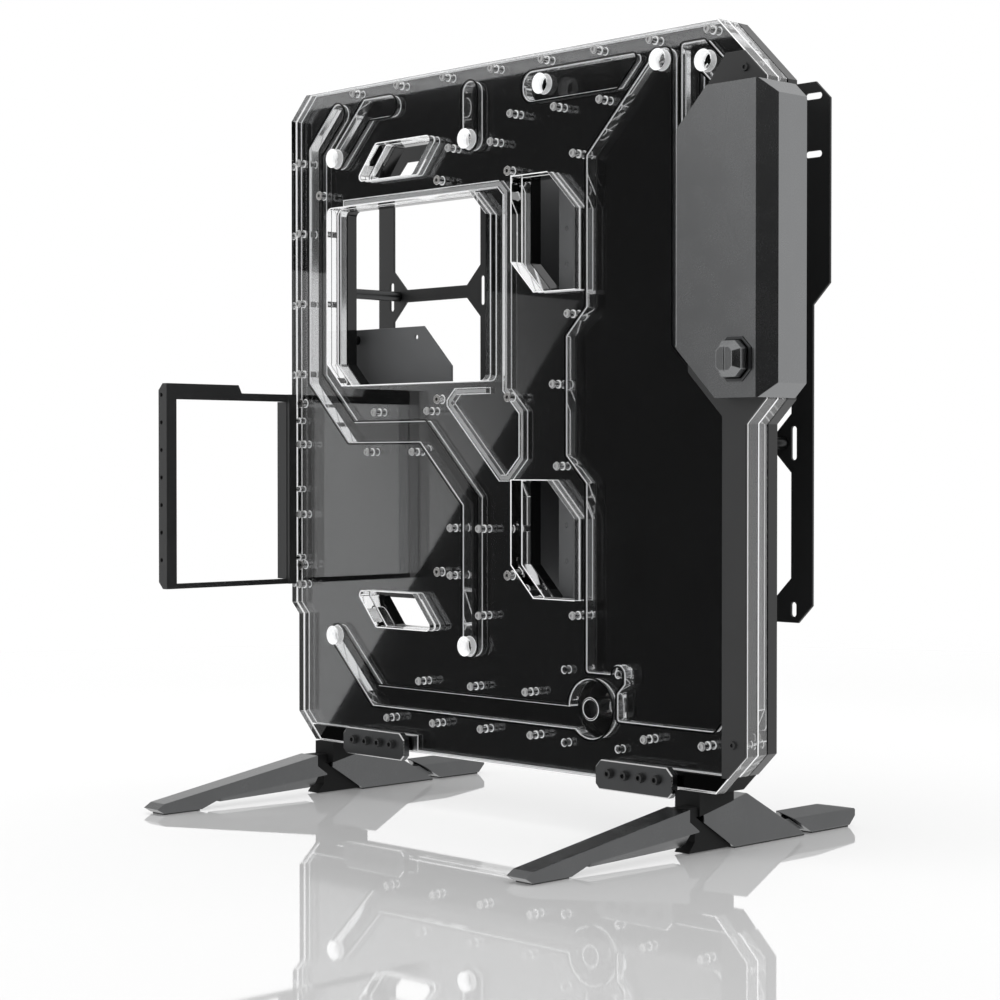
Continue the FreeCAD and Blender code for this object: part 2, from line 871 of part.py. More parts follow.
def trim_outline():
    """Trim plate under the front panel, with its strip down the plate's edge."""
    step = PLATE_TOP - S.right_step_drop
    top = PLATE_TOP - S.trim_top_drop
    strip = LOWER_RIGHT - S.trim_strip
    waist = step - S.right_step
    foot = HUB_TOP + S.hub_gap
    slope = PLATE_TOP - S.corner_top_right + PLATE_RIGHT
    corner_line = PLATE_BOTTOM - LOWER_RIGHT + S.corner_bottom_right
    return [
        (S.trim_left, top - S.trim_ear_slope),
        (slope - top - S.trim_ear, top),
        (slope - top, top),
        (PLATE_RIGHT, PLATE_TOP - S.corner_top_right),
        (PLATE_RIGHT, step),
        (LOWER_RIGHT, waist),
        (LOWER_RIGHT, PLATE_BOTTOM + S.corner_bottom_right),
        (foot - corner_line, foot),
        (strip, foot),
        (strip, waist + S.trim_waist_rise),
        (S.trim_left, waist + S.trim_waist_rise + strip - S.trim_left),
    ]


trim_points = trim_outline()
trim_top = trim_points[1]
trim_foot = trim_points[7]
trim_spots = [
    (PLATE_RIGHT - S.trim_screw_inset, trim_top[1] - S.trim_screw_drop),
    (LOWER_RIGHT - S.trim_strip / 2, trim_foot[1] + 2 * S.trim_screw_drop),
]
trim_clear = S.trim_screw_radius + S.screw_clearance

card_bottom = -S.card_top_drop - S.card_height
card_middle = PLATE_LEFT + S.card_foot_width / 2
card_spots = row_between((card_middle, -S.card_top_drop - 20), (card_middle, card_bottom + 20), 3)
card_holes = [circle(x, z, S.card_screw_radius + S.screw_clearance) for x, z in card_spots]

front_holes = [circle(x, z, S.port_radius) for x, z in port_places()]
insert_hole = S.insert_radius + S.screw_clearance
front_holes += [circle(x, z, insert_hole) for x, z in board_places()]
trim_holes = [circle(x, z, trim_clear) for x, z in trim_spots]



def clamp_places(middle):
    """Screws of one foot's clamp plate, in the middle of the bar behind it."""
    half_row = (S.clamp_screw_count - 1) * S.clamp_screw_pitch / 2
    row = (HUB_TOP + PLATE_BOTTOM) / 2
    return row_between((middle - half_row, row), (middle + half_row, row), int(S.clamp_screw_count))


clamp_clear = S.clamp_screw_radius + S.screw_clearance
clamp_spots = clamp_places(S.clamp_left_x) + clamp_places(S.clamp_right_x)
clamp_holes = [circle(x, z, clamp_clear) for x, z in clamp_spots]
front_loops = [front_outline] + through + front_holes + screw_holes + trim_holes + card_holes + clamp_holes
slab("front_clear_sheet", front_loops, 0, "sizes.front_thickness")

groove = track(groove_path(), S.groove_width)
channel_cuts = [outline] + through + cavities + [groove] + screw_holes + card_holes + pump_holes
channel_sheet = slab("channel_sheet", channel_cuts, CHANNEL_FRONT, "sizes.channel_thickness")
chamber = circle(S.pump_x, PUMP_Z, S.chamber_radius)
pocket(channel_sheet, "XZ_Plane", [chamber], "sizes.channel_thickness")

# Blind holes in the back sheet for everything that is screwed on from behind
BRACKET_FRONT = S.bracket_y - S.bracket_sheet / 2
bracket_low_row = -S.fan_first_drop - 1.5 * S.fan_pitch


def bracket_post_places(middle, mirrored):
    """Four posts per bracket, inside the columns of fan slots."""
    inner = S.fan_hole_pitch / 2 - S.post_column_inset
    low = bracket_low_row
    if mirrored:
        spots = [(-inner, S.post_row_rise), (inner, S.post_row_rise), (-inner, low), (inner, low)]
    else:
        spots = [(-inner, low + S.fan_pitch), (-inner, low), (inner, S.post_row_rise), (inner, low)]
    return [(middle + x, z) for x, z in spots]


post_spots = bracket_post_places(S.bracket_left_x, False)
post_spots += bracket_post_places(S.bracket_right_x, True)

psu_right = S.psu_left + S.psu_width
psu_columns = (S.psu_left + S.psu_flange / 2, psu_right + S.psu_flange / 2)
psu_bottom = S.psu_top_rise - S.psu_height
psu_screw_rows = (-S.psu_screw_drop, -S.psu_screw_drop - S.psu_screw_pitch)
psu_spots = [(x, z) for x in psu_columns for z in psu_screw_rows]

drive_left = S.drive_left + S.drive_hole_inset
drive_right = S.drive_left + S.drive_width - S.drive_hole_inset
drive_high = -S.drive_top_drop - S.drive_hole_inset
drive_low = -S.drive_top_drop - S.drive_height + S.drive_hole_inset
drive_spots = [(drive_left, drive_high), (drive_left, drive_low), (drive_right, drive_low)]

back_cuts = [outline] + through + [chamber] + card_holes + pump_holes
back_sheet = slab("back_black_sheet", back_cuts, BACK_FRONT, "sizes.back_thickness")
stud_clear = S.post_screw_radius + S.screw_clearance
psu_clear = S.psu_screw_radius + S.screw_clearance
blind = [circle(x, z, stud_clear) for x, z in post_spots]
blind += [circle(x, z, psu_clear) for x, z in psu_spots + drive_spots]
pocket(back_sheet, "XZ_Plane", blind, "sizes.blind_depth", -S.back_thickness, True)


def seal_ring(wire):
    """Flat ring that follows a cavity's edge at a small distance."""
    inner = wire.makeOffset2D(S.seal_offset)
    outer = wire.makeOffset2D(S.seal_offset + S.seal_width)
    depth = Vector(0, 0, S.seal_thickness)
    ring = Part.Face(outer).extrude(depth).cut(Part.Face(inner).extrude(depth))
    ring.rotate(Vector(0, 0, 0), Vector(1, 0, 0), 90)
    ring.translate(Vector(0, CHANNEL_FRONT, 0))
    return ring


def joined_wire(first, second):
    """Outline of two overlapping flat faces taken together."""
    up = Vector(0, 0, 1)
    block = first.extrude(up).fuse(second.extrude(up)).removeSplitter()
    return min(block.Faces, key=lambda face: face.CenterOfMass.z).OuterWire


chamber_face = Part.Face(wire_of(chamber))
wet_wires = []
for loop in cavities:
    run_face = Part.Face(wire_of(loop))
    # The pump's chamber opens into one of the runs and shares its seal
    meets_pump = run_face.common(chamber_face).Area > 0
    wet_wires.append(joined_wire(run_face, chamber_face) if meets_pump else run_face.OuterWire)
group("channel_seals", [seal_ring(wire) for wire in wet_wires])

strip_front = BACK_FRONT - S.strip_height
slab("light_strip", [track(groove_path(), S.strip_width)], strip_front, "sizes.strip_height")

screw_reach = CHANNEL_FRONT + S.channel_thickness - 1
head = (S.sheet_screw_radius, S.sheet_screw_head, S.sheet_screw_head_height)
group("sheet_screws", [screw(x, 0, z, screw_reach, *head) for x, z in screw_spots])


def insert(x, z):
    """Threaded insert with a thin flange on the plate's front face."""
    along = Vector(0, 1, 0)
    front = Vector(x, -S.insert_flange_height, z)
    flange = Part.makeCylinder(S.insert_flange, S.insert_flange_height, front, along)
    barrel = Part.makeCylinder(S.insert_radius, S.insert_length, Vector(x, 0, z), along)
    length = S.insert_length + S.insert_flange_height
    return flange.fuse(barrel).cut(Part.makeCylinder(S.insert_bore, length, front, along))


group("board_inserts", [insert(x, z) for x, z in board_places()])

# Pump: gasket, housing with its pot, fixed pin, impeller and inlet tube
pump_back = PLATE_BACK + S.pump_gasket_thickness
half_flange = S.pump_flange / 2
flange_corner = S.pump_boss_radius
square = rounded([
    (S.pump_x - half_flange, PUMP_Z - half_flange, flange_corner),
    (S.pump_x + half_flange, PUMP_Z - half_flange, flange_corner),
    (S.pump_x + half_flange, PUMP_Z + half_flange, flange_corner),
    (S.pump_x - half_flange, PUMP_Z + half_flange, flange_corner),
])
gasket_loops = [square, chamber] + pump_holes
slab("pump_gasket", gasket_loops, PLATE_BACK, "sizes.pump_gasket_thickness")
housing = slab("pump_housing", [square] + pump_holes, pump_back, "sizes.pump_flange_thickness")
drum = circle(S.pump_x, PUMP_Z, S.pump_body_radius)
pad(housing, "XZ_Plane", [drum], "sizes.pump_body_depth", 0, True)
pocket(housing, "XZ_Plane", [chamber], "sizes.pump_pot_depth")

pot_floor = pump_back + S.pump_pot_depth
impeller_back = pot_floor - S.impeller_lift
impeller_face = impeller_back - S.impeller_thickness
vane_tip = impeller_face - S.vane_height
eye = circle(S.pump_x, PUMP_Z, S.shaft_radius + S.shaft_clearance)
rim = circle(S.pump_x, PUMP_Z, S.impeller_radius)
impeller = slab("impeller", [rim, eye], impeller_face, "sizes.impeller_thickness")


def vane(number):
    """One swept vane between the hub and the rim, seen from the front."""
    points = []
    inner = S.impeller_hub - 0.5
    outer = S.impeller_radius - 0.5
    half = S.vane_width / 2
    for radius, side, sweep in ((inner, -half, 0), (outer, -half, 0.5), (outer, half, 0.5), (inner, half, 0)):
        angle = 2 * math.pi * number / S.vane_count + sweep + side / radius
        points.append((S.pump_x + radius * math.cos(angle), PUMP_Z + radius * math.sin(angle)))
    return rounded(points)


for number in range(int(S.vane_count)):
    pad(impeller, "XZ_Plane", [vane(number)], "sizes.vane_height")
hub_ring = [circle(S.pump_x, PUMP_Z, S.impeller_hub), eye]
pad(impeller, "XZ_Plane", hub_ring, "sizes.vane_height")

along = Vector(0, -1, 0)
pin_foot = Vector(S.pump_x, pot_floor, PUMP_Z)
pin_cap = Vector(S.pump_x, vane_tip - S.cap_gap, PUMP_Z)
pin_length = pot_floor - pin_cap.y
pin = Part.makeCylinder(S.shaft_radius, pin_length, pin_foot, along)
pin = pin.fuse(Part.makeCylinder(S.cap_radius, S.impeller_lift - S.cap_gap, pin_foot, along))
pin = pin.fuse(Part.makeCylinder(S.cap_radius, S.cap_height, pin_cap, along))
group("pump_shaft", [pin])

tube_length = vane_tip - S.inlet_gap - S.front_thickness
tube = slab("pump_inlet_ring", [
    circle(S.pump_x, PUMP_Z, S.inlet_radius),
    circle(S.pump_x, PUMP_Z, S.inlet_radius - S.inlet_wall),
], S.front_thickness, "%f mm" % tube_length)

pump_head_y = pump_back + S.pump_flange_thickness
pump_reach = pump_head_y - PLATE_BACK + S.pump_screw_reach
head = (S.pump_screw_radius, S.pump_screw_head, S.pump_screw_head_height)
pump_screws = [screw(x, pump_head_y, z, pump_reach, *head, way=-1) for x, z in pump_spots]
group("pump_screws", pump_screws)


# Pieces made by crossing two prisms
TURNS = {
    "XY": FreeCAD.Rotation(),
    "XZ": FreeCAD.Rotation(Vector(1, 0, 0), 90),
    "YZ": FreeCAD.Rotation(Vector(1, 1, 1), 120),
}
NORMALS = {"XY": Vector(0, 0, 1), "XZ": Vector(0, -1, 0), "YZ": Vector(1, 0, 0)}


def prism(plane, loops, start, length):
    """Straight prism on a plane, from a level and along the plane's normal."""
    sketch = doc.addObject("Sketcher::SketchObject", "outline")
    for loop in loops:
        for curve in loop:
            sketch.addGeometry(curve, False)
    level = -start if plane == "XZ" else start
    sketch.Placement = FreeCAD.Placement(HOME + NORMALS[plane] * level, TURNS[plane])
    body = doc.addObject("Part::Extrusion", "prism")
    body.Base = sketch
    body.DirMode = "Normal"
    body.LengthFwd = length
    body.Solid = True
    return body


def common(first, second):
    both = doc.addObject("Part::Common", "crossing")
    both.Base = first
    both.Tool = second
    return both


def cut(body, tool):
    left = doc.addObject("Part::Cut", "remainder")
    left.Base = body
    left.Tool = tool
    return left


def fuse(first, second):
    whole = doc.addObject("Part::Fuse", "union")
    whole.Base = first
    whole.Tool = second
    return whole


def octagon(x, z, width, height, corner):
    right = width / 2
    top = height / 2
    return rounded([
        (x - right, z - top + corner),
        (x - right + corner, z - top),
        (x + right - corner, z - top),
        (x + right, z - top + corner),
        (x + right, z + top - corner),
        (x + right - corner, z + top),
        (x - right + corner, z + top),
        (x - right, z + top - corner),
    ])


# Front panel
slab("io_trim_plate", [rounded(trim_points)] + trim_holes, -S.trim_thickness, "sizes.trim_thickness")
head = (S.trim_screw_radius, S.trim_screw_head, S.trim_screw_head_height)
trim_screws = [screw(x, -S.trim_thickness, z, S.trim_screw_length, *head) for x, z in trim_spots]
group("trim_screws", trim_screws)

cover_top = PLATE_TOP - S.cover_top_drop
cover_bottom = cover_top - S.cover_length
wrap_inner = PLATE_RIGHT + S.cover_edge_gap
end_bevel = S.cover_bevel - 1


def cover_outline(wall):
    """Front view of the cover, drawn in by a wall thickness."""
    right = wrap_inner - wall / 2 if wall else COVER_RIGHT
    bevel = 0.01 if wall else end_bevel
    left = S.trim_left + wall
    top = cover_top - wall
    low = cover_bottom + wall
    slant = wall * (math.sqrt(2) - 1)
    return rounded([
        (left, low + S.cover_lower_cut - wall + slant),
        (left + S.cover_lower_cut - wall + slant, low),
        (right - bevel, low),
        (right, low + bevel),
        (right, top - bevel),
        (right - bevel, top),
        (left + S.cover_upper_cut - wall + slant, top),
        (left, top - S.cover_upper_cut + wall - slant),
    ])


cover_section = rounded([
    (S.trim_left - S.cover_lap, COVER_FACE),
    (COVER_RIGHT - S.cover_bevel, COVER_FACE),
    (COVER_RIGHT, COVER_FACE + S.cover_bevel),
    (COVER_RIGHT, S.cover_wrap),
    (wrap_inner, S.cover_wrap),
    (wrap_inner, -S.trim_thickness),
    (S.trim_left - S.cover_lap, -S.trim_thickness),
])
cover_front = prism("XZ", [cover_outline(0)], S.cover_wrap, S.cover_wrap - COVER_FACE)
cover_plan = prism("XY", [cover_section], cover_bottom, S.cover_length)
hollow_depth = S.cover_height - S.cover_wall
hollow = prism("XZ", [cover_outline(S.cover_wall)], -S.trim_thickness, hollow_depth)
button_x = PLATE_RIGHT - S.button_inset
button_z = cover_bottom + S.button_up
gap = 2 * S.button_clearance
hole_width = S.button_width + gap
hole_height = S.button_height + gap
hole_loop = octagon(button_x, button_z, hole_width, hole_height, S.button_cut)
button_hole = prism("XZ", [hole_loop], -S.trim_thickness, S.cover_height)
shell = cut(common(cover_front, cover_plan), hollow)
keep("io_cover", cut(shell, button_hole))

bezel_outer = octagon(button_x, button_z, hole_width + 2 * S.bezel_width,
                      hole_height + 2 * S.bezel_width, S.button_cut + S.bezel_width)
bezel_front = COVER_FACE - S.bezel_height
slab("button_bezel", [bezel_outer, hole_loop], bezel_front, "sizes.bezel_height")

# The button's lip lies behind the cover's front wall and stops it there
lip_front = COVER_FACE + S.cover_wall + S.lip_gap
button_front = COVER_FACE - S.button_rise
button_back = lip_front + S.button_lip
button = new_body("power_button", button_front)
button_loop = octagon(button_x, button_z, S.button_width, S.button_height, S.button_cut)
stem = pad(button, "XZ_Plane", [button_loop], "%f mm" % (button_back - button_front), 0, True)
lip_loop = octagon(button_x, button_z, S.button_width + 2 * S.button_lip,
                   S.button_height + 2 * S.button_lip, S.button_cut)
lip = pad(button, "XZ_Plane", [lip_loop], "sizes.button_lip", button_front - lip_front, True)
line_half = S.button_line / 2
tall = S.button_height
line_loop = rounded([
    (button_x - line_half, button_z - tall),
    (button_x + line_half, button_z - tall),
    (button_x + line_half, button_z + tall),
    (button_x - line_half, button_z + tall),
])
doc.recompute()
front_edges = []
for number, edge in enumerate(lip.Shape.Edges, start=1):
    if edge.BoundBox.YMax < 1e-6:
        front_edges.append("Edge%d" % number)
chamfer = button.newObject("PartDesign::Chamfer", "power_button_edge")
chamfer.Base = (lip, front_edges)
chamfer.setExpression("Size", "sizes.button_edge")
pocket(button, "XZ_Plane", [line_loop], "sizes.button_line")

# Small switch on the trim plate, reached by the button at the end of its travel
plunger_tip = button_back + S.button_travel + S.lip_gap
switch = slab("button_switch", [
    octagon(button_x, button_z, S.switch_side, S.switch_side, 1),
], -S.trim_thickness - S.switch_height, "sizes.switch_height")
plunger = circle(button_x, button_z, S.plunger_radius)
plunger_rise = -S.trim_thickness - S.switch_height - plunger_tip
pad(switch, "XZ_Plane", [plunger], "%f mm" % plunger_rise)

# Card frame: side sheet with its opening, folded outer flange and screwed foot
card_top = -S.card_top_drop
card_front = -S.card_reach
card_frame = new_body("pcie_frame")
side_loop = rounded([
    (0, card_bottom),
    (0, card_top),
    (card_front + S.card_tab_length, card_top),
    (card_front + S.card_tab_length - S.card_tab_lean, card_top + S.card_tab_rise),
    (card_front, card_top + S.card_tab_rise),
    (card_front, card_bottom),
])
card_opening = rounded([
    (-S.card_bar, card_bottom + S.card_bar_low),
    (-S.card_bar, card_top - S.card_bar_top),
    (card_front + S.card_bar_outer, card_top - S.card_bar_top),
    (card_front + S.card_bar_outer, card_bottom + S.card_bar_low),
])
pad(card_frame, "YZ_Plane", [side_loop, card_opening], "sizes.card_sheet", PLATE_LEFT)
flange_left = PLATE_LEFT - S.card_flange
flange_loop = rounded([
    (PLATE_LEFT, card_bottom),
    (PLATE_LEFT, card_top + S.card_tab_rise),
    (flange_left + S.card_corner, card_top + S.card_tab_rise),
    (flange_left, card_top + S.card_tab_rise - S.card_corner),
    (flange_left, card_bottom + S.card_corner),
    (flange_left + S.card_corner, card_bottom),
])
card_hole_x = PLATE_LEFT - S.card_flange / 2
card_hole_top = card_top - S.card_first_hole
card_tap_holes = []
for number in range(int(S.card_slot_count)):
    drop = number * S.card_slot_pitch
    card_tap_holes.append(circle(card_hole_x, card_hole_top - drop, S.card_hole_radius))
pad(card_frame, "XZ_Plane", [flange_loop] + card_tap_holes, "sizes.card_sheet", S.card_reach, True)
lip_fold = rounded([
    (PLATE_LEFT - S.card_lip, card_bottom + S.card_bar_low),
    (PLATE_LEFT + S.card_sheet, card_bottom + S.card_bar_low),
    (PLATE_LEFT + S.card_sheet, card_top - S.card_bar_top),
    (PLATE_LEFT - S.card_lip, card_top - S.card_bar_top),
])
pad(card_frame, "XZ_Plane", [lip_fold], "sizes.card_sheet", S.card_bar, True)
foot_loop = rounded([
    (PLATE_LEFT, card_bottom),
    (PLATE_LEFT + S.card_foot_width, card_bottom),
    (PLATE_LEFT + S.card_foot_width, card_top),
    (PLATE_LEFT, card_top),
])
pad(card_frame, "XZ_Plane", [foot_loop], "sizes.card_foot_depth")
pocket(card_frame, "XZ_Plane", card_holes, "sizes.card_screw_bite + sizes.hole_overrun", 0, True)
head = (S.card_screw_radius, S.card_screw_head, S.card_screw_head_height)
card_reach = PLATE_BACK + S.card_screw_bite
card_screws = [screw(x, PLATE_BACK, z, card_reach, *head, way=-1) for x, z in card_spots]
group("pcie_frame_screws", card_screws)


# Radiator brackets
def bracket_outline(middle, ear):
    left = middle - BRACKET_HALF
    right = middle + BRACKET_HALF
    corner = S.bracket_corner
    points = [
        (left, BRACKET_BOTTOM + corner),
        (left, BRACKET_TOP - corner),
        (left + corner, BRACKET_TOP),
    ]
    if ear:
        far = right + S.ear_width
        low = BRACKET_TOP - S.ear_length
        points += [
            (far - corner, BRACKET_TOP),
            (far, BRACKET_TOP - corner),
            (far, low),
            (right, low - S.ear_chamfer),
        ]
    else:
        points += [(right - corner, BRACKET_TOP), (right, BRACKET_TOP - corner)]
    points += [
        (right, BRACKET_BOTTOM + corner),
        (right - corner, BRACKET_BOTTOM),
        (left + corner, BRACKET_BOTTOM),
    ]
    return rounded(points)


def bracket_cuts(middle, ear):
    """Fan openings, fan slots and, on the right, the two slots in the ear."""
    loops = []
    fans = int(S.fan_count)
    width = 2 * BRACKET_HALF - 2 * S.bracket_strip
    end = S.bracket_end_bar
    for fan in range(fans):
        top = -S.fan_first_drop + S.fan_pitch / 2 - fan * S.fan_pitch
        low = top - S.fan_pitch
        top -= end if fan == 0 else S.bracket_bar / 2
        low += end if fan == fans - 1 else S.bracket_bar / 2
        loops.append(octagon(middle, (top + low) / 2, width, top - low, S.bracket_gusset))
    for side in (-1, 1):
        column = middle + side * S.fan_hole_pitch / 2
        first = -S.fan_first_drop + S.fan_hole_pitch / 2
        last = -S.fan_first_drop - (fans - 1) * S.fan_pitch - S.fan_hole_pitch / 2
        for row in (first, last):
            loops.append(slot(column, row, S.fan_end_slot_length, S.fan_slot_radius, True))
        for junction in range(1, fans):
            row = -S.fan_first_drop + S.fan_pitch / 2 - junction * S.fan_pitch
            loops.append(slot(column, row, S.fan_slot_length, S.fan_slot_radius, True))
    if ear:
        for number in range(2):
            row = BRACKET_TOP - S.ear_slot_inset - number * S.ear_slot_pitch
            column = middle + BRACKET_HALF
            loops.append(slot(column, row, S.ear_slot_length, S.fan_slot_radius, False))
    return loops


post_holes = [circle(x, z, stud_clear) for x, z in post_spots]
left_loops = [bracket_outline(S.bracket_left_x, False)] + bracket_cuts(S.bracket_left_x, False)
right_loops = [bracket_outline(S.bracket_right_x, True)] + bracket_cuts(S.bracket_right_x, True)
slab("radiator_bracket_left", left_loops + post_holes[:4], BRACKET_FRONT, "sizes.bracket_sheet")
slab("radiator_bracket_right", right_loops + post_holes[4:], BRACKET_FRONT, "sizes.bracket_sheet")


def post(x, z):
    """Round post with a stud into the plate and a threaded hole at its far end."""
    along = Vector(0, 1, 0)
    foot = Vector(x, PLATE_BACK, z)
    body = Part.makeCylinder(S.post_radius, BRACKET_FRONT - PLATE_BACK, foot, along)
    stud = Part.makeCylinder(S.post_screw_radius, S.post_stud_length, foot, -along)
    mouth = Vector(x, BRACKET_FRONT, z)
    depth = S.post_screw_length - S.bracket_sheet + S.hole_overrun
    return body.fuse(stud).cut(Part.makeCylinder(stud_clear, depth, mouth, -along))


group("bracket_posts", [post(x, z) for x, z in post_spots])
bracket_back = BRACKET_FRONT + S.bracket_sheet
head = (S.post_screw_radius, S.post_screw_head, S.post_screw_head_height)
bracket_screws = [screw(x, bracket_back, z, S.post_screw_length, *head, way=-1) for x, z in post_spots]
group("bracket_screws", bracket_screws)

# Power supply cover: folded sheet with two flanges against the plate's back
gauge = S.cover_sheet
psu_back = PLATE_BACK + S.psu_depth
psu_section = rounded([
    (S.psu_left, PLATE_BACK),
    (S.psu_left + S.psu_flange, PLATE_BACK),
    (S.psu_left + S.psu_flange, PLATE_BACK + gauge),
    (S.psu_left + gauge, PLATE_BACK + gauge),
    (S.psu_left + gauge, psu_back - gauge),
    (psu_right - gauge, psu_back - gauge),
    (psu_right - gauge, PLATE_BACK),
    (psu_right + S.psu_flange, PLATE_BACK),
    (psu_right + S.psu_flange, PLATE_BACK + gauge),
    (psu_right, PLATE_BACK + gauge),
    (psu_right, psu_back),
    (S.psu_left, psu_back),
])
psu_cover = new_body("psu_cover")
pad(psu_cover, "XY_Plane", [psu_section], "sizes.psu_height", psu_bottom)
psu_holes = [circle(x, z, psu_clear) for x, z in psu_spots]
for row in (-S.psu_hole_drop, psu_bottom + S.psu_screw_inset):
    for shift in (0, S.psu_screw_pitch if row < -S.psu_height / 2 else -S.psu_screw_pitch):
        psu_holes += [circle(x, row + shift, psu_clear) for x in psu_columns]
pocket(psu_cover, "XZ_Plane", psu_holes, "sizes.cover_sheet", -PLATE_BACK)
psu_head_y = PLATE_BACK + gauge
head = (S.psu_screw_radius, S.psu_screw_head, S.psu_screw_head_height)
psu_reach = gauge + S.psu_screw_bite
psu_screws = [screw(x, psu_head_y, z, psu_reach, *head, way=-1) for x, z in psu_spots]
group("psu_cover_screws", psu_screws)

# Drive plate on three spacers
drive_top = -S.drive_top_drop
drive_edge = S.drive_left + S.drive_width
drive_loop = rounded([
    (S.drive_left, drive_top - S.drive_height),
    (drive_edge, drive_top - S.drive_height),
    (drive_edge, drive_top - S.drive_cut),
    (drive_edge - S.drive_cut, drive_top),
    (S.drive_left, drive_top),
])
drive_holes = [circle(x, z, psu_clear) for x, z in drive_spots]
drive_free = circle(drive_edge - S.drive_cut - S.drive_hole_inset, drive_high, S.drive_hole_radius)
slab("drive_plate", [drive_loop, drive_free] + drive_holes, S.drive_y, "sizes.drive_sheet")


def spacer(x, z):
    along = Vector(0, 1, 0)
    foot = Vector(x, PLATE_BACK, z)
    length = S.drive_y - PLATE_BACK
    body = Part.makeCylinder(S.drive_post_radius, length, foot, along)
    return body.cut(Part.makeCylinder(psu_clear, length, foot, along))


group("drive_spacers", [spacer(x, z) for x, z in drive_spots])
drive_back = S.drive_y + S.drive_sheet
drive_reach = drive_back - PLATE_BACK + S.psu_screw_bite
drive_screws = [screw(x, drive_back, z, drive_reach, *head, way=-1) for x, z in drive_spots]
group("drive_screws", drive_screws)


# Feet: heights below are measured from the floor
def level(height):
    return FLOOR + height


PAD = S.pad_thickness
rake = (S.heel_rear_lean) / (S.heel_height - PAD)
heel_end = S.heel_start + S.heel_length
heel_peak = heel_end - S.heel_rear_lean
heel_nose = S.heel_start - S.heel_front_lean
joint_back = -S.stem_front + S.joint_step


def along_heel(y, first, last):
    """Height of the line between two points of a side view at a depth."""
    part = (y - first[0]) / (last[0] - first[0])
    return first[1] + part * (last[1] - first[1])


nose_point = (heel_nose, S.heel_front_height)
peak_point = (heel_peak, S.heel_height)
start_point = (S.heel_start, PAD)
neck_front = -S.stem_neck
neck_low = along_heel(neck_front, nose_point, peak_point)
# Wide neck under the bar, resting on the heel's back
neck_loop = [
    (neck_front, S.floor_gap),
    (neck_front, neck_low),
    (PLATE_BACK, along_heel(PLATE_BACK, nose_point, peak_point)),
    (PLATE_BACK, S.floor_gap),
]
# Narrow core between the front leg and the heel, down to the floor pad
core_loop = [
    (-S.stem_front, S.leg_top),
    (-S.stem_front, S.joint_high),
    (joint_back, S.joint_low),
    (joint_back, S.core_step),
    (joint_back - S.core_toe, PAD),
    start_point,
    nose_point,
    (neck_front, neck_low),
    (neck_front, S.leg_top),
]
leg_loop = [
    (-S.stem_front, S.leg_top),
    (-S.leg_reach, S.leg_tip_height),
    (NOSE, S.leg_nose_height),
    (-S.leg_reach, PAD),
    (-S.leg_reach + S.leg_pad_length, PAD),
    (-S.leg_reach + S.leg_pad_length + S.leg_arch_length, S.leg_arch_height),
    (joint_back, S.joint_low - S.joint_flat),
    (joint_back, S.joint_low),
    (-S.stem_front, S.joint_high),
]
heel_loop = [nose_point, peak_point, (heel_end, PAD), start_point]
toe_start = heel_end + S.toe_gap * math.hypot(1, rake)


def toe_front(height):
    """Depth of the toe's raked front face at a height."""
    return toe_start - rake * (height - PAD)


toe_loop = [
    (toe_front(PAD), PAD),
    (S.toe_end - S.toe_end_cut, PAD),
    (S.toe_end, PAD + S.toe_end_cut),
    (S.toe_end, S.toe_height),
    (S.toe_end - S.toe_ridge_back, S.toe_ridge),
    (toe_front(S.toe_ridge), S.toe_ridge),
]
tongue_low = PAD + S.tongue_lift
tongue_loop = [
    (toe_front(tongue_low) - S.toe_gap * math.hypot(1, rake), tongue_low),
    (toe_front(tongue_low) + S.tongue_bite, tongue_low),
    (toe_front(S.toe_height) + S.tongue_bite, S.toe_height),
    (toe_front(S.toe_height) - S.toe_gap * math.hypot(1, rake), S.toe_height),
]


def side_view(loop, middle, width):
    """Prism of a side view, as wide as the piece and centred on the foot."""
    points = [(y, level(height)) for y, height in loop]
    return prism("YZ", [rounded(points)], middle - width / 2, width)


def keel(middle):
    """Sloped underside of a front leg, narrowing downwards."""
    front = -S.leg_reach + S.leg_pad_length + S.leg_arch_length
    rear = joint_back - S.joint_step
    joint = S.joint_low - S.joint_flat
    ends = [(front, S.leg_arch_height, S.keel_front_drop, S.keel_front_width)]
    ends.append((rear, along_heel(rear, (front, S.leg_arch_height), (joint_back, joint)),
                 S.keel_rear_drop, S.keel_rear_width))
    wires = []
    for y, top, drop, foot_width in ends:
        wide = along_heel(y, (NOSE, S.leg_tip_width), (0, S.leg_width)) / 2
        narrow = foot_width / 2
        corners = [(-wide, top + S.keel_bite), (-wide, top), (-narrow, top - drop)]
        corners += [(narrow, top - drop), (wide, top), (wide, top + S.keel_bite)]
        wires.append(Part.makePolygon([Vector(middle + x, y, level(z)) for x, z in corners + corners[:1]]))
    return Part.makeLoft(wires, True, True)


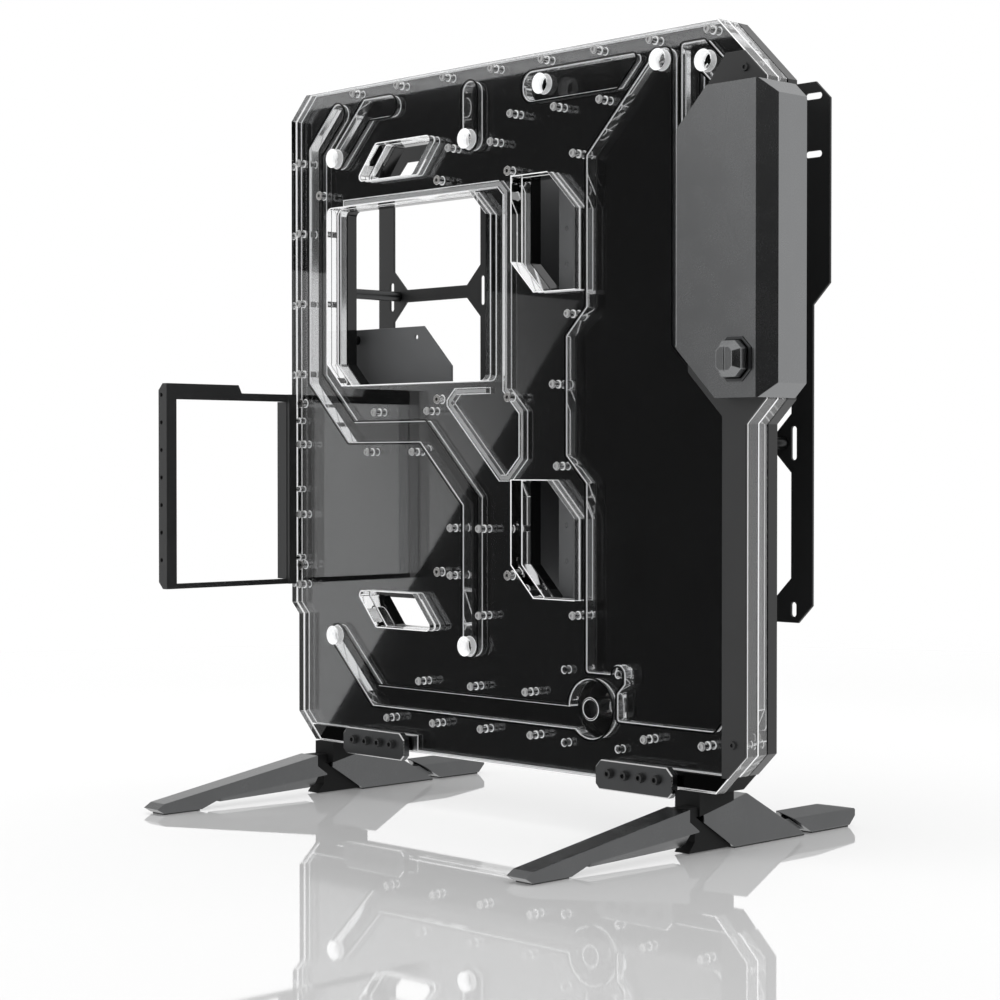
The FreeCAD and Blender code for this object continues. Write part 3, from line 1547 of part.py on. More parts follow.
def foot(side, middle, bar, inward, clamp_middle):
    """One foot: hub with bar, neck and core, front leg, heel, toe and clamp plate."""
    hub = new_body("foot_hub_" + side)
    pad(hub, "XZ_Plane", [rounded(bar)], "%f mm" % (PLATE_BACK - S.front_thickness), -S.front_thickness, True)
    neck = [(y, level(height)) for y, height in neck_loop]
    neck_start = middle - (S.stem_outer if inward > 0 else S.stem_inner)
    pad(hub, "YZ_Plane", [rounded(neck)], "sizes.stem_outer + sizes.stem_inner", neck_start)
    core = [(y, level(height)) for y, height in core_loop]
    pad(hub, "YZ_Plane", [rounded(core)], "sizes.core_width", middle - S.core_width / 2)
    holes = [circle(x, z, clamp_clear) for x, z in clamp_places(clamp_middle)]
    pocket(hub, "XZ_Plane", holes, "sizes.clamp_screw_length - sizes.clamp_thickness + sizes.hole_overrun")

    tip = S.leg_tip_width / 2
    wide = S.leg_width / 2
    plan = rounded([
        (middle - tip, NOSE),
        (middle + tip, NOSE),
        (middle + wide, 0),
        (middle - wide, 0),
    ])
    leg_plan = prism("XY", [plan], FLOOR, S.leg_top)
    leg = common(side_view(leg_loop, middle, S.leg_width), leg_plan)
    sloped = doc.addObject("Part::Feature", "keel_" + side)
    sloped.Shape = keel(middle)
    sloped.Placement.Base = HOME
    keep("front_leg_" + side, fuse(leg, sloped))

    low = S.heel_width / 2
    high = S.heel_top_width / 2
    section = rounded([
        (middle - low, FLOOR),
        (middle + low, FLOOR),
        (middle + high, level(S.heel_height)),
        (middle - high, level(S.heel_height)),
    ])
    heel_section = prism("XZ", [section], S.toe_end, S.toe_end)
    keep("rear_leg_" + side, common(side_view(heel_loop, middle, S.heel_width), heel_section))

    half = S.toe_width / 2
    roof = rounded([
        (middle - half, FLOOR),
        (middle + half, FLOOR),
        (middle + half, level(S.toe_height)),
        (middle, level(S.toe_ridge)),
        (middle - half, level(S.toe_height)),
    ])
    toe = common(side_view(toe_loop, middle, S.toe_width), prism("XZ", [roof], S.toe_end, S.toe_end))
    keep("rear_toe_" + side, fuse(toe, side_view(tongue_loop, middle, S.toe_tongue)))

    plate_low = HUB_TOP + S.clamp_lap - S.clamp_height
    end = S.clamp_length / 2
    edge = S.clamp_cut
    foot_edge = S.clamp_low_cut
    plate = rounded([
        (clamp_middle - end, plate_low + foot_edge),
        (clamp_middle - end + foot_edge, plate_low),
        (clamp_middle + end - foot_edge, plate_low),
        (clamp_middle + end, plate_low + foot_edge),
        (clamp_middle + end, plate_low + S.clamp_height - edge),
        (clamp_middle + end - edge, plate_low + S.clamp_height),
        (clamp_middle - end + edge, plate_low + S.clamp_height),
        (clamp_middle - end, plate_low + S.clamp_height - edge),
    ])
    slab("clamp_plate_" + side, [plate] + holes, -S.clamp_thickness, "sizes.clamp_thickness")


left_foot = S.foot_left_x
right_foot = S.foot_right_x
rise = S.hub_rise
bar_left = PLATE_LEFT + S.left_step + S.corner_bottom_left + S.hub_end_gap
bar_right = LOWER_RIGHT - S.corner_bottom_right - S.hub_end_gap
left_bar = [
    (bar_left, PLATE_BOTTOM),
    (left_foot + S.hub_left_after, PLATE_BOTTOM),
    (left_foot + S.hub_left_after, HUB_TOP),
    (bar_left - rise, HUB_TOP),
]
right_bar = [
    (right_foot - S.hub_right_before, PLATE_BOTTOM),
    (bar_right, PLATE_BOTTOM),
    (bar_right + rise, HUB_TOP),
    (right_foot - S.hub_right_before, HUB_TOP),
]
foot("left", left_foot, left_bar, 1, S.clamp_left_x)
foot("right", right_foot, right_bar, -1, S.clamp_right_x)
head = (S.clamp_screw_radius, S.clamp_screw_head, S.clamp_screw_head_height)
clamp_y = -S.clamp_thickness
clamp_screws = [screw(x, clamp_y, z, S.clamp_screw_length, *head) for x, z in clamp_spots]
group("clamp_screws", clamp_screws)


def floor_pads(middle):
    """Soft pads under the leg's tip, the heel and the toe."""
    runs = [
        (-S.leg_reach, -S.leg_reach + S.leg_pad_length, S.leg_tip_width),
        (S.heel_start, heel_end, S.heel_width),
        (toe_start, S.toe_end - S.toe_end_cut, S.toe_width),
    ]
    pads = []
    for start, stop, width in runs:
        corner = Vector(middle - width / 2 + PAD, start + PAD, FLOOR)
        pads.append(Part.makeBox(width - 2 * PAD, stop - start - 2 * PAD, PAD, corner))
    return pads


group("foot_pads", floor_pads(left_foot) + floor_pads(right_foot))

doc.recompute()
for thing in doc.Objects:
    if "Invalid" in thing.State or "Error" in thing.State:
        raise RuntimeError("%s did not build: %s" % (thing.Name, thing.State))
os.makedirs("parts", exist_ok=True)
for piece in nodes:
    if piece.Shape.isNull() or not piece.Shape.isValid():
        raise RuntimeError(piece.Label + " has no sound shape")
    piece.Shape.exportStep("parts/%s.step" % piece.Label)
print(len(nodes), "pieces written")
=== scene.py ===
# %% [markdown]
# # An open computer case on a clear water plate
# The case in this lesson is one thick upright plate of clear and black acrylic
# with water channels cut into it. Metal feet carry the plate, and brackets and a
# front panel hang on it. The solids come from the CAD model, and this file gives
# them their polished edges, their screws and threads, and their finishes.

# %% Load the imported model
import math

import bmesh
import bpy
from mathutils import Matrix, Vector


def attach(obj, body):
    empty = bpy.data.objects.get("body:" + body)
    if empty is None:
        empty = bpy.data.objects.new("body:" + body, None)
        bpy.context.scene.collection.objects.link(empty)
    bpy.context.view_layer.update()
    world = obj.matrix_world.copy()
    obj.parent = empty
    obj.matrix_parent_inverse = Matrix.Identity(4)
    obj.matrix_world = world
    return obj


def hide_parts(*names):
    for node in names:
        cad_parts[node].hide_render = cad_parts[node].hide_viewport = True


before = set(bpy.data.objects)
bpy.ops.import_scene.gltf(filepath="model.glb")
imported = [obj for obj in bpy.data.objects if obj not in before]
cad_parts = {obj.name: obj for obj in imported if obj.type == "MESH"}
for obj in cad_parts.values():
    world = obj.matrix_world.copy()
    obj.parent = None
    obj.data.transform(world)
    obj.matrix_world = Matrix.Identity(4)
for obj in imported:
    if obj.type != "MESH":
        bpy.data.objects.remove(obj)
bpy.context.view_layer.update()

MM = 0.001

# %% [markdown]
# ## Camera
# The board holes have standard distances, so they fix where the camera stood:
# a long lens, a little over a metre and a half away, turned 46 degrees from a
# straight view of the plate and almost level. Its three axes are written as the
# columns of a rotation matrix, which is easier to check than three angles.

# %% Place the camera
LENS = 80.73
SENSOR_WIDTH = 36.0
VIEW_RIGHT = Vector((0.69766, 0.71643, 0.0))
VIEW_AHEAD = Vector((-0.71633, 0.69757, -0.01625))
CAMERA_PLACE = Vector((1.12317, -1.09395, 0.25019))

camera = bpy.data.objects.new("camera", bpy.data.cameras.new("camera"))
bpy.context.scene.collection.objects.link(camera)
camera.data.lens = LENS
camera.data.sensor_width = SENSOR_WIDTH
camera.data.sensor_fit = "HORIZONTAL"
turn = Matrix((VIEW_RIGHT, VIEW_RIGHT.cross(VIEW_AHEAD), -VIEW_AHEAD)).transposed()
camera.matrix_world = Matrix.Translation(CAMERA_PLACE) @ turn.to_4x4()
bpy.context.scene.camera = camera
print("camera at", [round(value, 3) for value in CAMERA_PLACE])

# %% [markdown]
# ## Node trees as small expressions
# Materials and Geometry Nodes are both trees of nodes. Writing such a tree node
# by node hides the idea behind it, so two small classes help: a Field wraps one
# socket and can be added, multiplied and so on, and a Graph makes any node in a
# tree from its type, its settings and what goes into its sockets.

# %% Wrap sockets and trees
class Field:
    """One output socket that takes part in sums and products."""

    def __init__(self, graph, socket):
        self.graph = graph
        self.socket = socket

    def combine(self, operation, first, second):
        return self.graph.node("ShaderNodeMath", {"operation": operation}, {0: first, 1: second})

    def __add__(self, other):
        return self.combine("ADD", self, other)

    def __sub__(self, other):
        return self.combine("SUBTRACT", self, other)

    def __rsub__(self, other):
        return self.combine("SUBTRACT", other, self)

    def __mul__(self, other):
        return self.combine("MULTIPLY", self, other)

    def __truediv__(self, other):
        return self.combine("DIVIDE", self, other)

    __radd__ = __add__
    __rmul__ = __mul__


class Graph:
    """Any node tree; values are set at once and fields are linked."""

    def __init__(self, tree):
        self.tree = tree

    def node(self, kind, settings=None, inputs=None, output=0):
        made = self.tree.nodes.new(kind)
        for name, value in (settings or {}).items():
            setattr(made, name, value)
        for name, value in (inputs or {}).items():
            self.connect(value, made.inputs[name])
        return Field(self, made.outputs[output])

    def connect(self, value, socket):
        for part in value if isinstance(value, list) else [value]:
            if isinstance(part, Field):
                self.tree.links.new(part.socket, socket)
            else:
                socket.default_value = part


print("fields know plus, minus, times and divided by")

# %% [markdown]
# ## A finish as a graph
# A finish is the node tree of one material. What is the same all over a surface
# is set on the shader's own socket. What changes, such as grain or haze, is a
# field that feeds a socket. Places are measured on the piece in metres, so that
# a grain of half a millimetre is as fine as on the real thing.

# %% Describe a finish
class Finish(Graph):
    """A material whose constants are set on its shader and whose fields are linked."""

    def __init__(self, name, constants):
        self.material = bpy.data.materials.new(name)
        self.material.use_nodes = True
        super().__init__(self.material.node_tree)
        self.shader = self.tree.nodes["Principled BSDF"]
        for socket, value in constants.items():
            self.shader.inputs[socket].default_value = value

    def feed(self, socket, field):
        self.connect(field, self.shader.inputs[socket])

    def place(self, stretch=(1.0, 1.0, 1.0), shift=(0.0, 0.0, 0.0)):
        """Position on the piece in metres, stretched along each axis and then shifted."""
        coordinates = self.node("ShaderNodeTexCoord", output="Object")
        inputs = {"Vector": coordinates, "Scale": stretch, "Location": shift}
        return self.node("ShaderNodeMapping", inputs=inputs)

    def distance(self, middle, scale=Vector((1.0, 1.0, 1.0))):
        """Distance from a point, in metres or in stretched ones."""
        place = self.place(scale, middle * scale * -1)
        return self.node("ShaderNodeVectorMath", {"operation": "LENGTH"}, {0: place}, output="Value")

    def eased(self, field, low, high):
        """Soft step from 0 to 1 between two values of a field."""
        inputs = {"Value": field, "From Min": low, "From Max": high}
        return self.node("ShaderNodeMapRange", {"interpolation_type": "SMOOTHSTEP"}, inputs)

    def grain(self, size_mm, detail, stretch=(1.0, 1.0, 1.0)):
        """Noise whose blotches are about as wide as the given size."""
        scale = 1.0 / (size_mm * MM)
        inputs = {"Vector": self.place(stretch), "Scale": scale, "Detail": detail}
        return self.node("ShaderNodeTexNoise", inputs=inputs, output="Fac")

    def shade(self, field, dark, light):
        """Colour between two tones, chosen by a field from 0 to 1."""
        # A Mix node has sockets for each type of data: 6, 7 and output 2 hold colours
        inputs = {"Factor": field, 6: dark, 7: light}
        return self.node("ShaderNodeMix", {"data_type": "RGBA"}, inputs, output=2)

    def emboss(self, field, height_mm, strength):
        """Let a field raise and sink the surface in the light."""
        inputs = {"Height": field, "Distance": height_mm * MM, "Strength": strength}
        self.feed("Normal", self.node("ShaderNodeBump", inputs=inputs))


def tone(value, tint=0.0):
    """Grey with a slight tint, cool above zero and warm below."""
    return (value, value * (1 + tint / 2), value * (1 + tint), 1.0)


print("finish tools ready")

# %% [markdown]
# ## Clear and black acrylic
# Acrylic bends light a little less than window glass. Polished sheet is almost
# free of texture, so its detail is faint: a slight haze from wiping, which
# shows only as a small change of roughness. The black sheet gets the same haze.
# Where the sheet was cut, fine tool marks scatter light. A strip of lamps runs
# in the plate, but it is not lit here: rims and ports get a faint painted glow,
# an emission that makes them look lit.

# %% Mix the acrylics
ACRYLIC_INDEX = 1.49


def clear_acrylic():
    finish = Finish("clear_acrylic", {
        "Base Color": tone(0.97, 0.01),
        "IOR": ACRYLIC_INDEX,
        "Transmission Weight": 1.0,
    })
    # Never quite zero: perfectly sharp spots would show as speckles among the rest
    finish.feed("Roughness", finish.grain(size_mm=60, detail=3.0) * 0.01 + 0.005)
    return finish.material


def cut_acrylic(name, clearness, roughness, glow=0.0):
    """Cut and not polished again: fine tool marks scatter part of the light, and an optional emission
    adds a painted glow.
    """
    finish = Finish(name, {
        "IOR": ACRYLIC_INDEX,
        "Transmission Weight": clearness,
        # Emission is a painted glow that makes rims and ports look lit
        "Emission Color": tone(1.0),
        "Emission Strength": glow,
    })
    marks = finish.grain(size_mm=0.25, detail=2.0)
    finish.feed("Base Color", finish.shade(marks, tone(0.92, 0.01), tone(0.99, 0.01)))
    finish.feed("Roughness", marks * 0.08 + roughness)
    return finish.material


def black_acrylic():
    finish = Finish("black_acrylic", {"IOR": ACRYLIC_INDEX})
    haze = finish.grain(size_mm=40, detail=4.0)
    finish.feed("Base Color", finish.shade(haze, tone(0.004, 0.05), tone(0.008, 0.05)))
    finish.feed("Roughness", haze * 0.06 + 0.03)
    return finish.material


CLEAR = clear_acrylic()
# Threads and rims get a painted glow; the milled walls get none
FROSTED = cut_acrylic("threaded_acrylic", clearness=0.1, roughness=0.3, glow=0.25)
RIM = cut_acrylic("chamfered_rim", clearness=0.12, roughness=0.12, glow=0.3)
MILLED = cut_acrylic("milled_wall", clearness=0.86, roughness=0.04)
BLACK_SHEET = black_acrylic()
print("acrylics:", [finish.name for finish in (CLEAR, FROSTED, RIM, MILLED, BLACK_SHEET)])

# %% [markdown]
# ## Recipes for metal, coat and plastic
# The feet and the panel cover are blasted and anodised, which leaves a fine
# even grain. The folded sheets are powder coated: soft orange peel, a little
# glossier. Turned metal has streaks, and moulded parts have the grain of their
# mould. Each recipe is a function, because several finishes share it and differ
# only in tone and gloss.

# %% Write the recipes
def anodised(name, dark, light, roughness):
    """Blasted metal: fine grain in the bump, faint clouds in the colour."""
    finish = Finish(name, {"Metallic": 1.0})
    clouds = finish.grain(size_mm=25, detail=3.0)
    fine = finish.grain(size_mm=0.35, detail=2.0)
    finish.feed("Base Color", finish.shade(clouds, dark, light))
    finish.feed("Roughness", fine * 0.05 + clouds * 0.04 + roughness)
    finish.emboss(fine, height_mm=0.01, strength=0.3)
    return finish.material


def powder_coat(name, dark, light, roughness, gloss=0.5):
    """Sprayed and baked coat with a soft orange peel."""
    finish = Finish(name, {"IOR": 1.5, "Specular IOR Level": gloss})
    peel = finish.grain(size_mm=1.6, detail=1.0)
    clouds = finish.grain(size_mm=30, detail=3.0)
    finish.feed("Base Color", finish.shade(clouds, dark, light))
    finish.feed("Roughness", peel * 0.1 + clouds * 0.06 + roughness)
    finish.emboss(peel, height_mm=0.015, strength=0.6)
    return finish.material


def bare_metal(name, dark, light, roughness, stretch):
    """Turned or brushed metal: streaks along one direction."""
    finish = Finish(name, {"Metallic": 1.0})
    streaks = finish.grain(size_mm=0.6, detail=3.0, stretch=stretch)
    finish.feed("Base Color", finish.shade(streaks, dark, light))
    finish.feed("Roughness", streaks * 0.15 + roughness)
    return finish.material


def moulded(name, dark, light, roughness, grain_mm):
    """Rubber or plastic with a fine moulded grain."""
    finish = Finish(name, {"IOR": 1.5})
    skin = finish.grain(size_mm=grain_mm, detail=2.0)
    finish.feed("Base Color", finish.shade(skin, dark, light))
    finish.feed("Roughness", skin * 0.15 + roughness)
    finish.emboss(skin, height_mm=0.03, strength=0.6)
    return finish.material


print("recipes: anodised, powder_coat, bare_metal, moulded")

# %% [markdown]
# ## The finishes of this case
# The panel cover is a lighter grey than the legs. The hubs between them are
# almost black: painted shade for the recess they sit in. The supply cover and
# the drive plate take a lighter copy of the black coat: painted light, so that
# they look lit behind the plate. The screws that hold the sheets together have
# zinc-plated heads, every shank is bright steel, and the inserts are nickel
# plated. The numbers are linear tones, so 0.2 is a middle grey. A squeezed axis
# draws grain into streaks.

# %% Mix the finishes
ALONG_X = (0.1, 1.0, 1.0)
ALONG_Y = (1.0, 0.1, 1.0)
GREY_METAL = anodised("anodised_grey", tone(0.215, 0.03), tone(0.235, 0.03), roughness=0.22)
LEG_METAL = anodised("anodised_legs", tone(0.10, 0.03), tone(0.12, 0.03), roughness=0.22)
DARK_METAL = anodised("anodised_black", tone(0.07, 0.04), tone(0.09, 0.04), roughness=0.32)
POST_METAL = anodised("anodised_posts", tone(0.05, 0.03), tone(0.08, 0.03), roughness=0.3)
BLACK_COAT = powder_coat("black_coat", tone(0.014, 0.05), tone(0.022, 0.05), roughness=0.36)
# A lighter copy of the black coat: painted light, so that the supply cover and drive plate look lit
# behind the plate
SATIN_COAT_PAINTED_LIGHT = powder_coat("satin_coat", tone(0.12, 0.05), tone(0.15, 0.05), roughness=0.42)
# Almost black for the hubs: painted shade of the recess they sit in
MATT_COAT_PAINTED_SHADE = powder_coat("matt_coat", tone(0.005, 0.05), tone(0.009, 0.05), roughness=0.55, gloss=0.15)
CUT_EDGE = bare_metal("cut_edge", tone(0.5), tone(0.62), roughness=0.2, stretch=ALONG_X)
STEEL = bare_metal("bright_steel", tone(0.55), tone(0.72), roughness=0.16, stretch=ALONG_Y)
ZINC = bare_metal("zinc_plate", tone(0.46), tone(0.58), roughness=0.4, stretch=ALONG_Y)
NICKEL = bare_metal("nickel_plate", tone(0.42, -0.04), tone(0.56, -0.04),
                    roughness=0.2, stretch=ALONG_Y)
RUBBER = moulded("soft_rubber", tone(0.012), tone(0.022), roughness=0.6, grain_mm=0.8)
SEAL = moulded("seal_cord", tone(0.10), tone(0.16), roughness=0.45, grain_mm=1.0)
PUMP_PLASTIC = moulded("pump_plastic", tone(0.015), tone(0.024), roughness=0.4, grain_mm=0.7)
IMPELLER_PLASTIC = moulded("impeller_plastic", tone(0.56, -0.08), tone(0.66, -0.08),
                           roughness=0.35, grain_mm=0.9)
DIFFUSER = moulded("light_diffuser", tone(0.66), tone(0.78), roughness=0.3, grain_mm=1.4)
print("finishes:", len(bpy.data.materials))

# %% [markdown]
# ## Which finish goes where
# Every node of the CAD model is one sort of piece, so it needs one finish. A
# table from names to materials shows all choices at a glance, and a node that
# is missing from it stops the script. Pieces that are built later take their
# finish from the same table.

# %% Give every CAD node its finish
NODE_FINISH = {
    "front_clear_sheet": CLEAR, "channel_sheet": CLEAR, "pump_inlet_ring": CLEAR,
    "back_black_sheet": BLACK_SHEET, "channel_seals": SEAL, "light_strip": DIFFUSER,
    "sheet_screws": ZINC, "pump_shaft": STEEL, "trim_screws": BLACK_COAT,
    "pcie_frame_screws": BLACK_COAT, "bracket_screws": BLACK_COAT,
    "psu_cover_screws": BLACK_COAT, "drive_screws": BLACK_COAT,
    "clamp_screws": BLACK_COAT, "pump_screws": STEEL, "board_inserts": NICKEL,
    "pump_housing": PUMP_PLASTIC, "button_switch": PUMP_PLASTIC,
    "impeller": IMPELLER_PLASTIC, "pump_gasket": RUBBER, "foot_pads": RUBBER,
    # The supply cover and the drive plate take the coat with painted light
    "io_trim_plate": BLACK_COAT, "pcie_frame": BLACK_COAT, "psu_cover": SATIN_COAT_PAINTED_LIGHT,
    "radiator_bracket_left": BLACK_COAT, "radiator_bracket_right": BLACK_COAT,
    "drive_plate": SATIN_COAT_PAINTED_LIGHT, "button_bezel": DARK_METAL, "bracket_posts": POST_METAL,
    "drive_spacers": POST_METAL, "io_cover": GREY_METAL, "power_button": GREY_METAL,
}
for side in ("left", "right"):
    for name in ("front_leg_", "rear_leg_", "rear_toe_"):
        NODE_FINISH[name + side] = LEG_METAL
    # The hubs take the coat with painted shade
    NODE_FINISH["foot_hub_" + side] = MATT_COAT_PAINTED_SHADE
    NODE_FINISH["clamp_plate_" + side] = DARK_METAL
for name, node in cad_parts.items():
    node.data.materials.clear()
    node.data.materials.append(NODE_FINISH[name])
print("dressed nodes:", len(NODE_FINISH))

# %% [markdown]
# ## Flat pieces with polished edges
# A cut sheet never has razor-sharp edges: each rim is broken by a narrow
# chamfer, and on clear acrylic that chamfer is the bright line that draws the
# shape. The CAD sheet is plain, so its outline loops are read from its mesh
# and a new sheet is built from them, with the rims drawn in by the chamfer.

# %% Read outline loops from a flat node
MERGE_DISTANCE = 0.002 * MM
FACE_LEVEL = 0.01 * MM
STRAIGHT_COSINE = 0.999999


def merged_copy(node_name):
    """Mesh of a node with its loose triangles joined."""
    shape = bmesh.new()
    shape.from_mesh(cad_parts[node_name].data)
    bmesh.ops.remove_doubles(shape, verts=shape.verts, dist=MERGE_DISTANCE)
    return shape


def outline_loops(node_name):
    """Closed loops (x, z) on the front face, and the sheet's two depths."""
    shape = merged_copy(node_name)
    front = min(vertex.co.y for vertex in shape.verts)
    back = max(vertex.co.y for vertex in shape.verts)
    facing = {f for f in shape.faces if all(v.co.y < front + FACE_LEVEL for v in f.verts)}
    after = {}
    for face in facing:
        for loop in face.loops:
            if not any(other in facing and other is not face for other in loop.edge.link_faces):
                after[loop.vert.index] = loop.link_loop_next.vert.index
    shape.verts.ensure_lookup_table()
    loops = []
    while after:
        start = next(iter(after))
        loop = []
        step = start
        while step in after:
            loop.append(shape.verts[step].co.xz.to_2d())
            step = after.pop(step)
        loops.append(straightened(loop))
    shape.free()
    return loops, front, back


def straightened(loop):
    """The same loop without points that lie on a straight run."""
    kept = []
    for index, point in enumerate(loop):
        before = (point - loop[index - 1]).normalized()
        following = (loop[(index + 1) % len(loop)] - point).normalized()
        if before.dot(following) < STRAIGHT_COSINE:
            kept.append(point)
    return kept


FRONT_LOOPS = outline_loops("front_clear_sheet")[0]
print("loops of the front sheet:", len(FRONT_LOOPS))

# %% [markdown]
# ## Which wall is which
# A hole in the clear sheets can be a threaded port, a milled water run or a
# polished opening, and each looks different. Ports are known by their radius.
# Water runs and grooves are milled into the middle sheet alone, so a loop that
# the front sheet lacks is taken to be milled.

# %% Tell ports, runs and openings apart
PORT_RADII = (6.3 * MM, 6.9 * MM)
SAME_PLACE = 1.0 * MM
FACE, EDGE, PORT, CUT = range(4)


def middle_of(loop):
    """Mean of a loop's points."""
    return sum(loop, Vector((0, 0))) / len(loop)


def is_port(loop):
    """Whether a loop is a round hole of the ports' size."""
    spread = [(point - middle_of(loop)).length for point in loop]
    return PORT_RADII[0] < min(spread) and max(spread) < PORT_RADII[1]


FRONT_MIDDLES = [middle_of(loop) for loop in FRONT_LOOPS]


def wall_kind(loop):
    """Which of a sheet's finishes the wall of a loop takes."""
    if is_port(loop):
        return PORT
    if all((middle_of(loop) - middle).length > SAME_PLACE for middle in FRONT_MIDDLES):
        return CUT
    return FACE


print("ports in the front sheet:", sum(is_port(loop) for loop in FRONT_LOOPS))

# %% [markdown]
# ## Pieces that stand for CAD nodes
# A piece that is built anew has to move with the right body, keep the material
# slot of its CAD node and hide that node. The smooth look of a round wall and
# the hard line at its rim come from smooth faces with sharp edges between them,
# which cost no faces as more segments would.


def take_over(piece, node_name, body="case"):
    """Let a finished piece ride on its body in place of a CAD node."""
    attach(piece, body)
    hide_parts(node_name)
    print(piece.name, len(piece.data.polygons), "faces")


def stand_in(shape, node_name, finishes, sharp_angle=None, body="case"):
    """Turn a bmesh into the piece that is seen instead of a CAD node."""
    mesh = bpy.data.meshes.new(node_name + "_piece")
    shape.to_mesh(mesh)
    shape.free()
    if sharp_angle:
        mesh.polygons.foreach_set("use_smooth", [True] * len(mesh.polygons))
        mesh.set_sharp_from_angle(angle=sharp_angle)
    for finish in finishes:
        mesh.materials.append(finish)
    piece = bpy.data.objects.new(node_name + "_piece", mesh)
    bpy.context.scene.collection.objects.link(piece)
    take_over(piece, node_name, body)


# %% [markdown]
# ## Sheets with chamfered rims
# The wall between two rims keeps the full outline, and both faces shrink by the
# chamfer. Each band of faces can have a finish of its own: rims scatter light and
# get a painted glow, ports are threaded and get the same painted glow, and milled
# walls are not quite clear. A Bevel modifier could break the edges too, but it
# can't tell a port from a water run.

# %% Rebuild the flat pieces
SHARPEST_SHARE = 0.3
SHEET_SHARP = math.radians(30)
SAWN_RISE = 1.0 * MM


def drawn_in(loop, distance):
    """Loop moved into the sheet, which lies on the same side of every loop."""
    moved = []
    for index, point in enumerate(loop):
        before = (point - loop[index - 1]).normalized()
        following = (loop[(index + 1) % len(loop)] - point).normalized()
        normal = Vector((-before.y - following.y, before.x + following.x)).normalized()
        reach = distance / max(normal.dot(Vector((-following.y, following.x))), SHARPEST_SHARE)
        moved.append(point + normal * reach)
    return moved


def polished_sheet(node_name, chamfer_mm, rim=None, port=None, cut=None):
    """Sheet with chamfered rims that stands for a flat CAD node."""
    loops, front, back = outline_loops(node_name)
    widest = max(point.x for loop in loops for point in loop)
    chamfer = chamfer_mm * MM
    shape = bmesh.new()
    rims = {"front": [], "back": []}
    for loop in loops:
        inner = drawn_in(loop, chamfer)
        levels = [(inner, front), (loop, front + chamfer), (loop, back - chamfer), (inner, back)]
        rings = [[shape.verts.new((p.x, depth, p.y)) for p in points] for points, depth in levels]
        outer = max(point.x for point in loop) == widest
        for first, second, kind in zip(rings, rings[1:], (EDGE, wall_kind(loop), EDGE)):
            for i in range(len(loop)):
                quad = (first[i - 1], second[i - 1], second[i], first[i])
                # Where the outer loop rises, its wall faces right: that end is sawn
                sawn = outer and kind == FACE and loop[i].y - loop[i - 1].y > SAWN_RISE
                shape.faces.new(quad).material_index = CUT if sawn else kind
        rims["front"] += [shape.edges.get((rings[0][i], rings[0][i - 1])) for i in range(len(loop))]
        rims["back"] += [shape.edges.get((rings[-1][i], rings[-1][i - 1])) for i in range(len(loop))]
    for name, way in (("front", -1), ("back", 1)):
        bmesh.ops.triangle_fill(shape, edges=rims[name], use_beauty=True, normal=(0, way, 0))
    bmesh.ops.recalc_face_normals(shape, faces=shape.faces)
    face = NODE_FINISH[node_name]
    finishes = [face, rim or face, port or face, cut or face]
    stand_in(shape, node_name, finishes, SHEET_SHARP)


for name in ("front_clear_sheet", "channel_sheet"):
    polished_sheet(name, chamfer_mm=0.6, rim=RIM, port=FROSTED, cut=MILLED)
polished_sheet("pump_inlet_ring", chamfer_mm=0.5, rim=RIM)
polished_sheet("back_black_sheet", chamfer_mm=0.5)
for name in ("io_trim_plate", "radiator_bracket_left", "radiator_bracket_right", "drive_plate"):
    polished_sheet(name, chamfer_mm=0.3)
for name in ("clamp_plate_left", "clamp_plate_right"):
    polished_sheet(name, chamfer_mm=0.7, rim=CUT_EDGE)
polished_sheet("button_bezel", chamfer_mm=0.4)

# %% [markdown]
# ## Softened blocks
# The feet, the panel cover and the button are milled from solid. Their edges
# are broken by a small round, which catches a thin highlight. Merging the flat
# triangles back into whole faces first lets the bevel run evenly.

# %% Bevel the milled blocks
FLAT_ANGLE = math.radians(0.5)
BLOCK_SHARP = math.radians(15)


def softened_block(node_name, width_mm, body="case"):
    """Block with rounded edges that stands for a CAD node."""
    shape = merged_copy(node_name)
    bmesh.ops.dissolve_limit(shape, angle_limit=FLAT_ANGLE, verts=shape.verts, edges=shape.edges)
    sharp = [edge for edge in shape.edges if edge.calc_face_angle(0) > BLOCK_SHARP]
    rounds = bmesh.ops.bevel(shape, geom=sharp, offset=width_mm * MM, segments=3, profile=0.5,
                             affect="EDGES", clamp_overlap=True)
    for face in rounds["faces"]:
        face.smooth = True
    stand_in(shape, node_name, [NODE_FINISH[node_name]], body=body)


for side in ("left", "right"):
    for name in ("front_leg_", "rear_leg_", "rear_toe_"):
        softened_block(name + side, width_mm=0.7)
softened_block("io_cover", width_mm=0.5)
softened_block("power_button", width_mm=0.5, body="button")

# %% [markdown]
# ## Copies on points
# Screws and threads repeat many times. Geometry Nodes can build one of them from
# a few sizes and copy it to every point of a mesh. The class below holds what
# all such trees share: named inputs, copies on points, and at the end real
# geometry with its materials. A marked part of the shape takes a second finish.

# %% Build trees with named inputs
MARK = "second_finish"


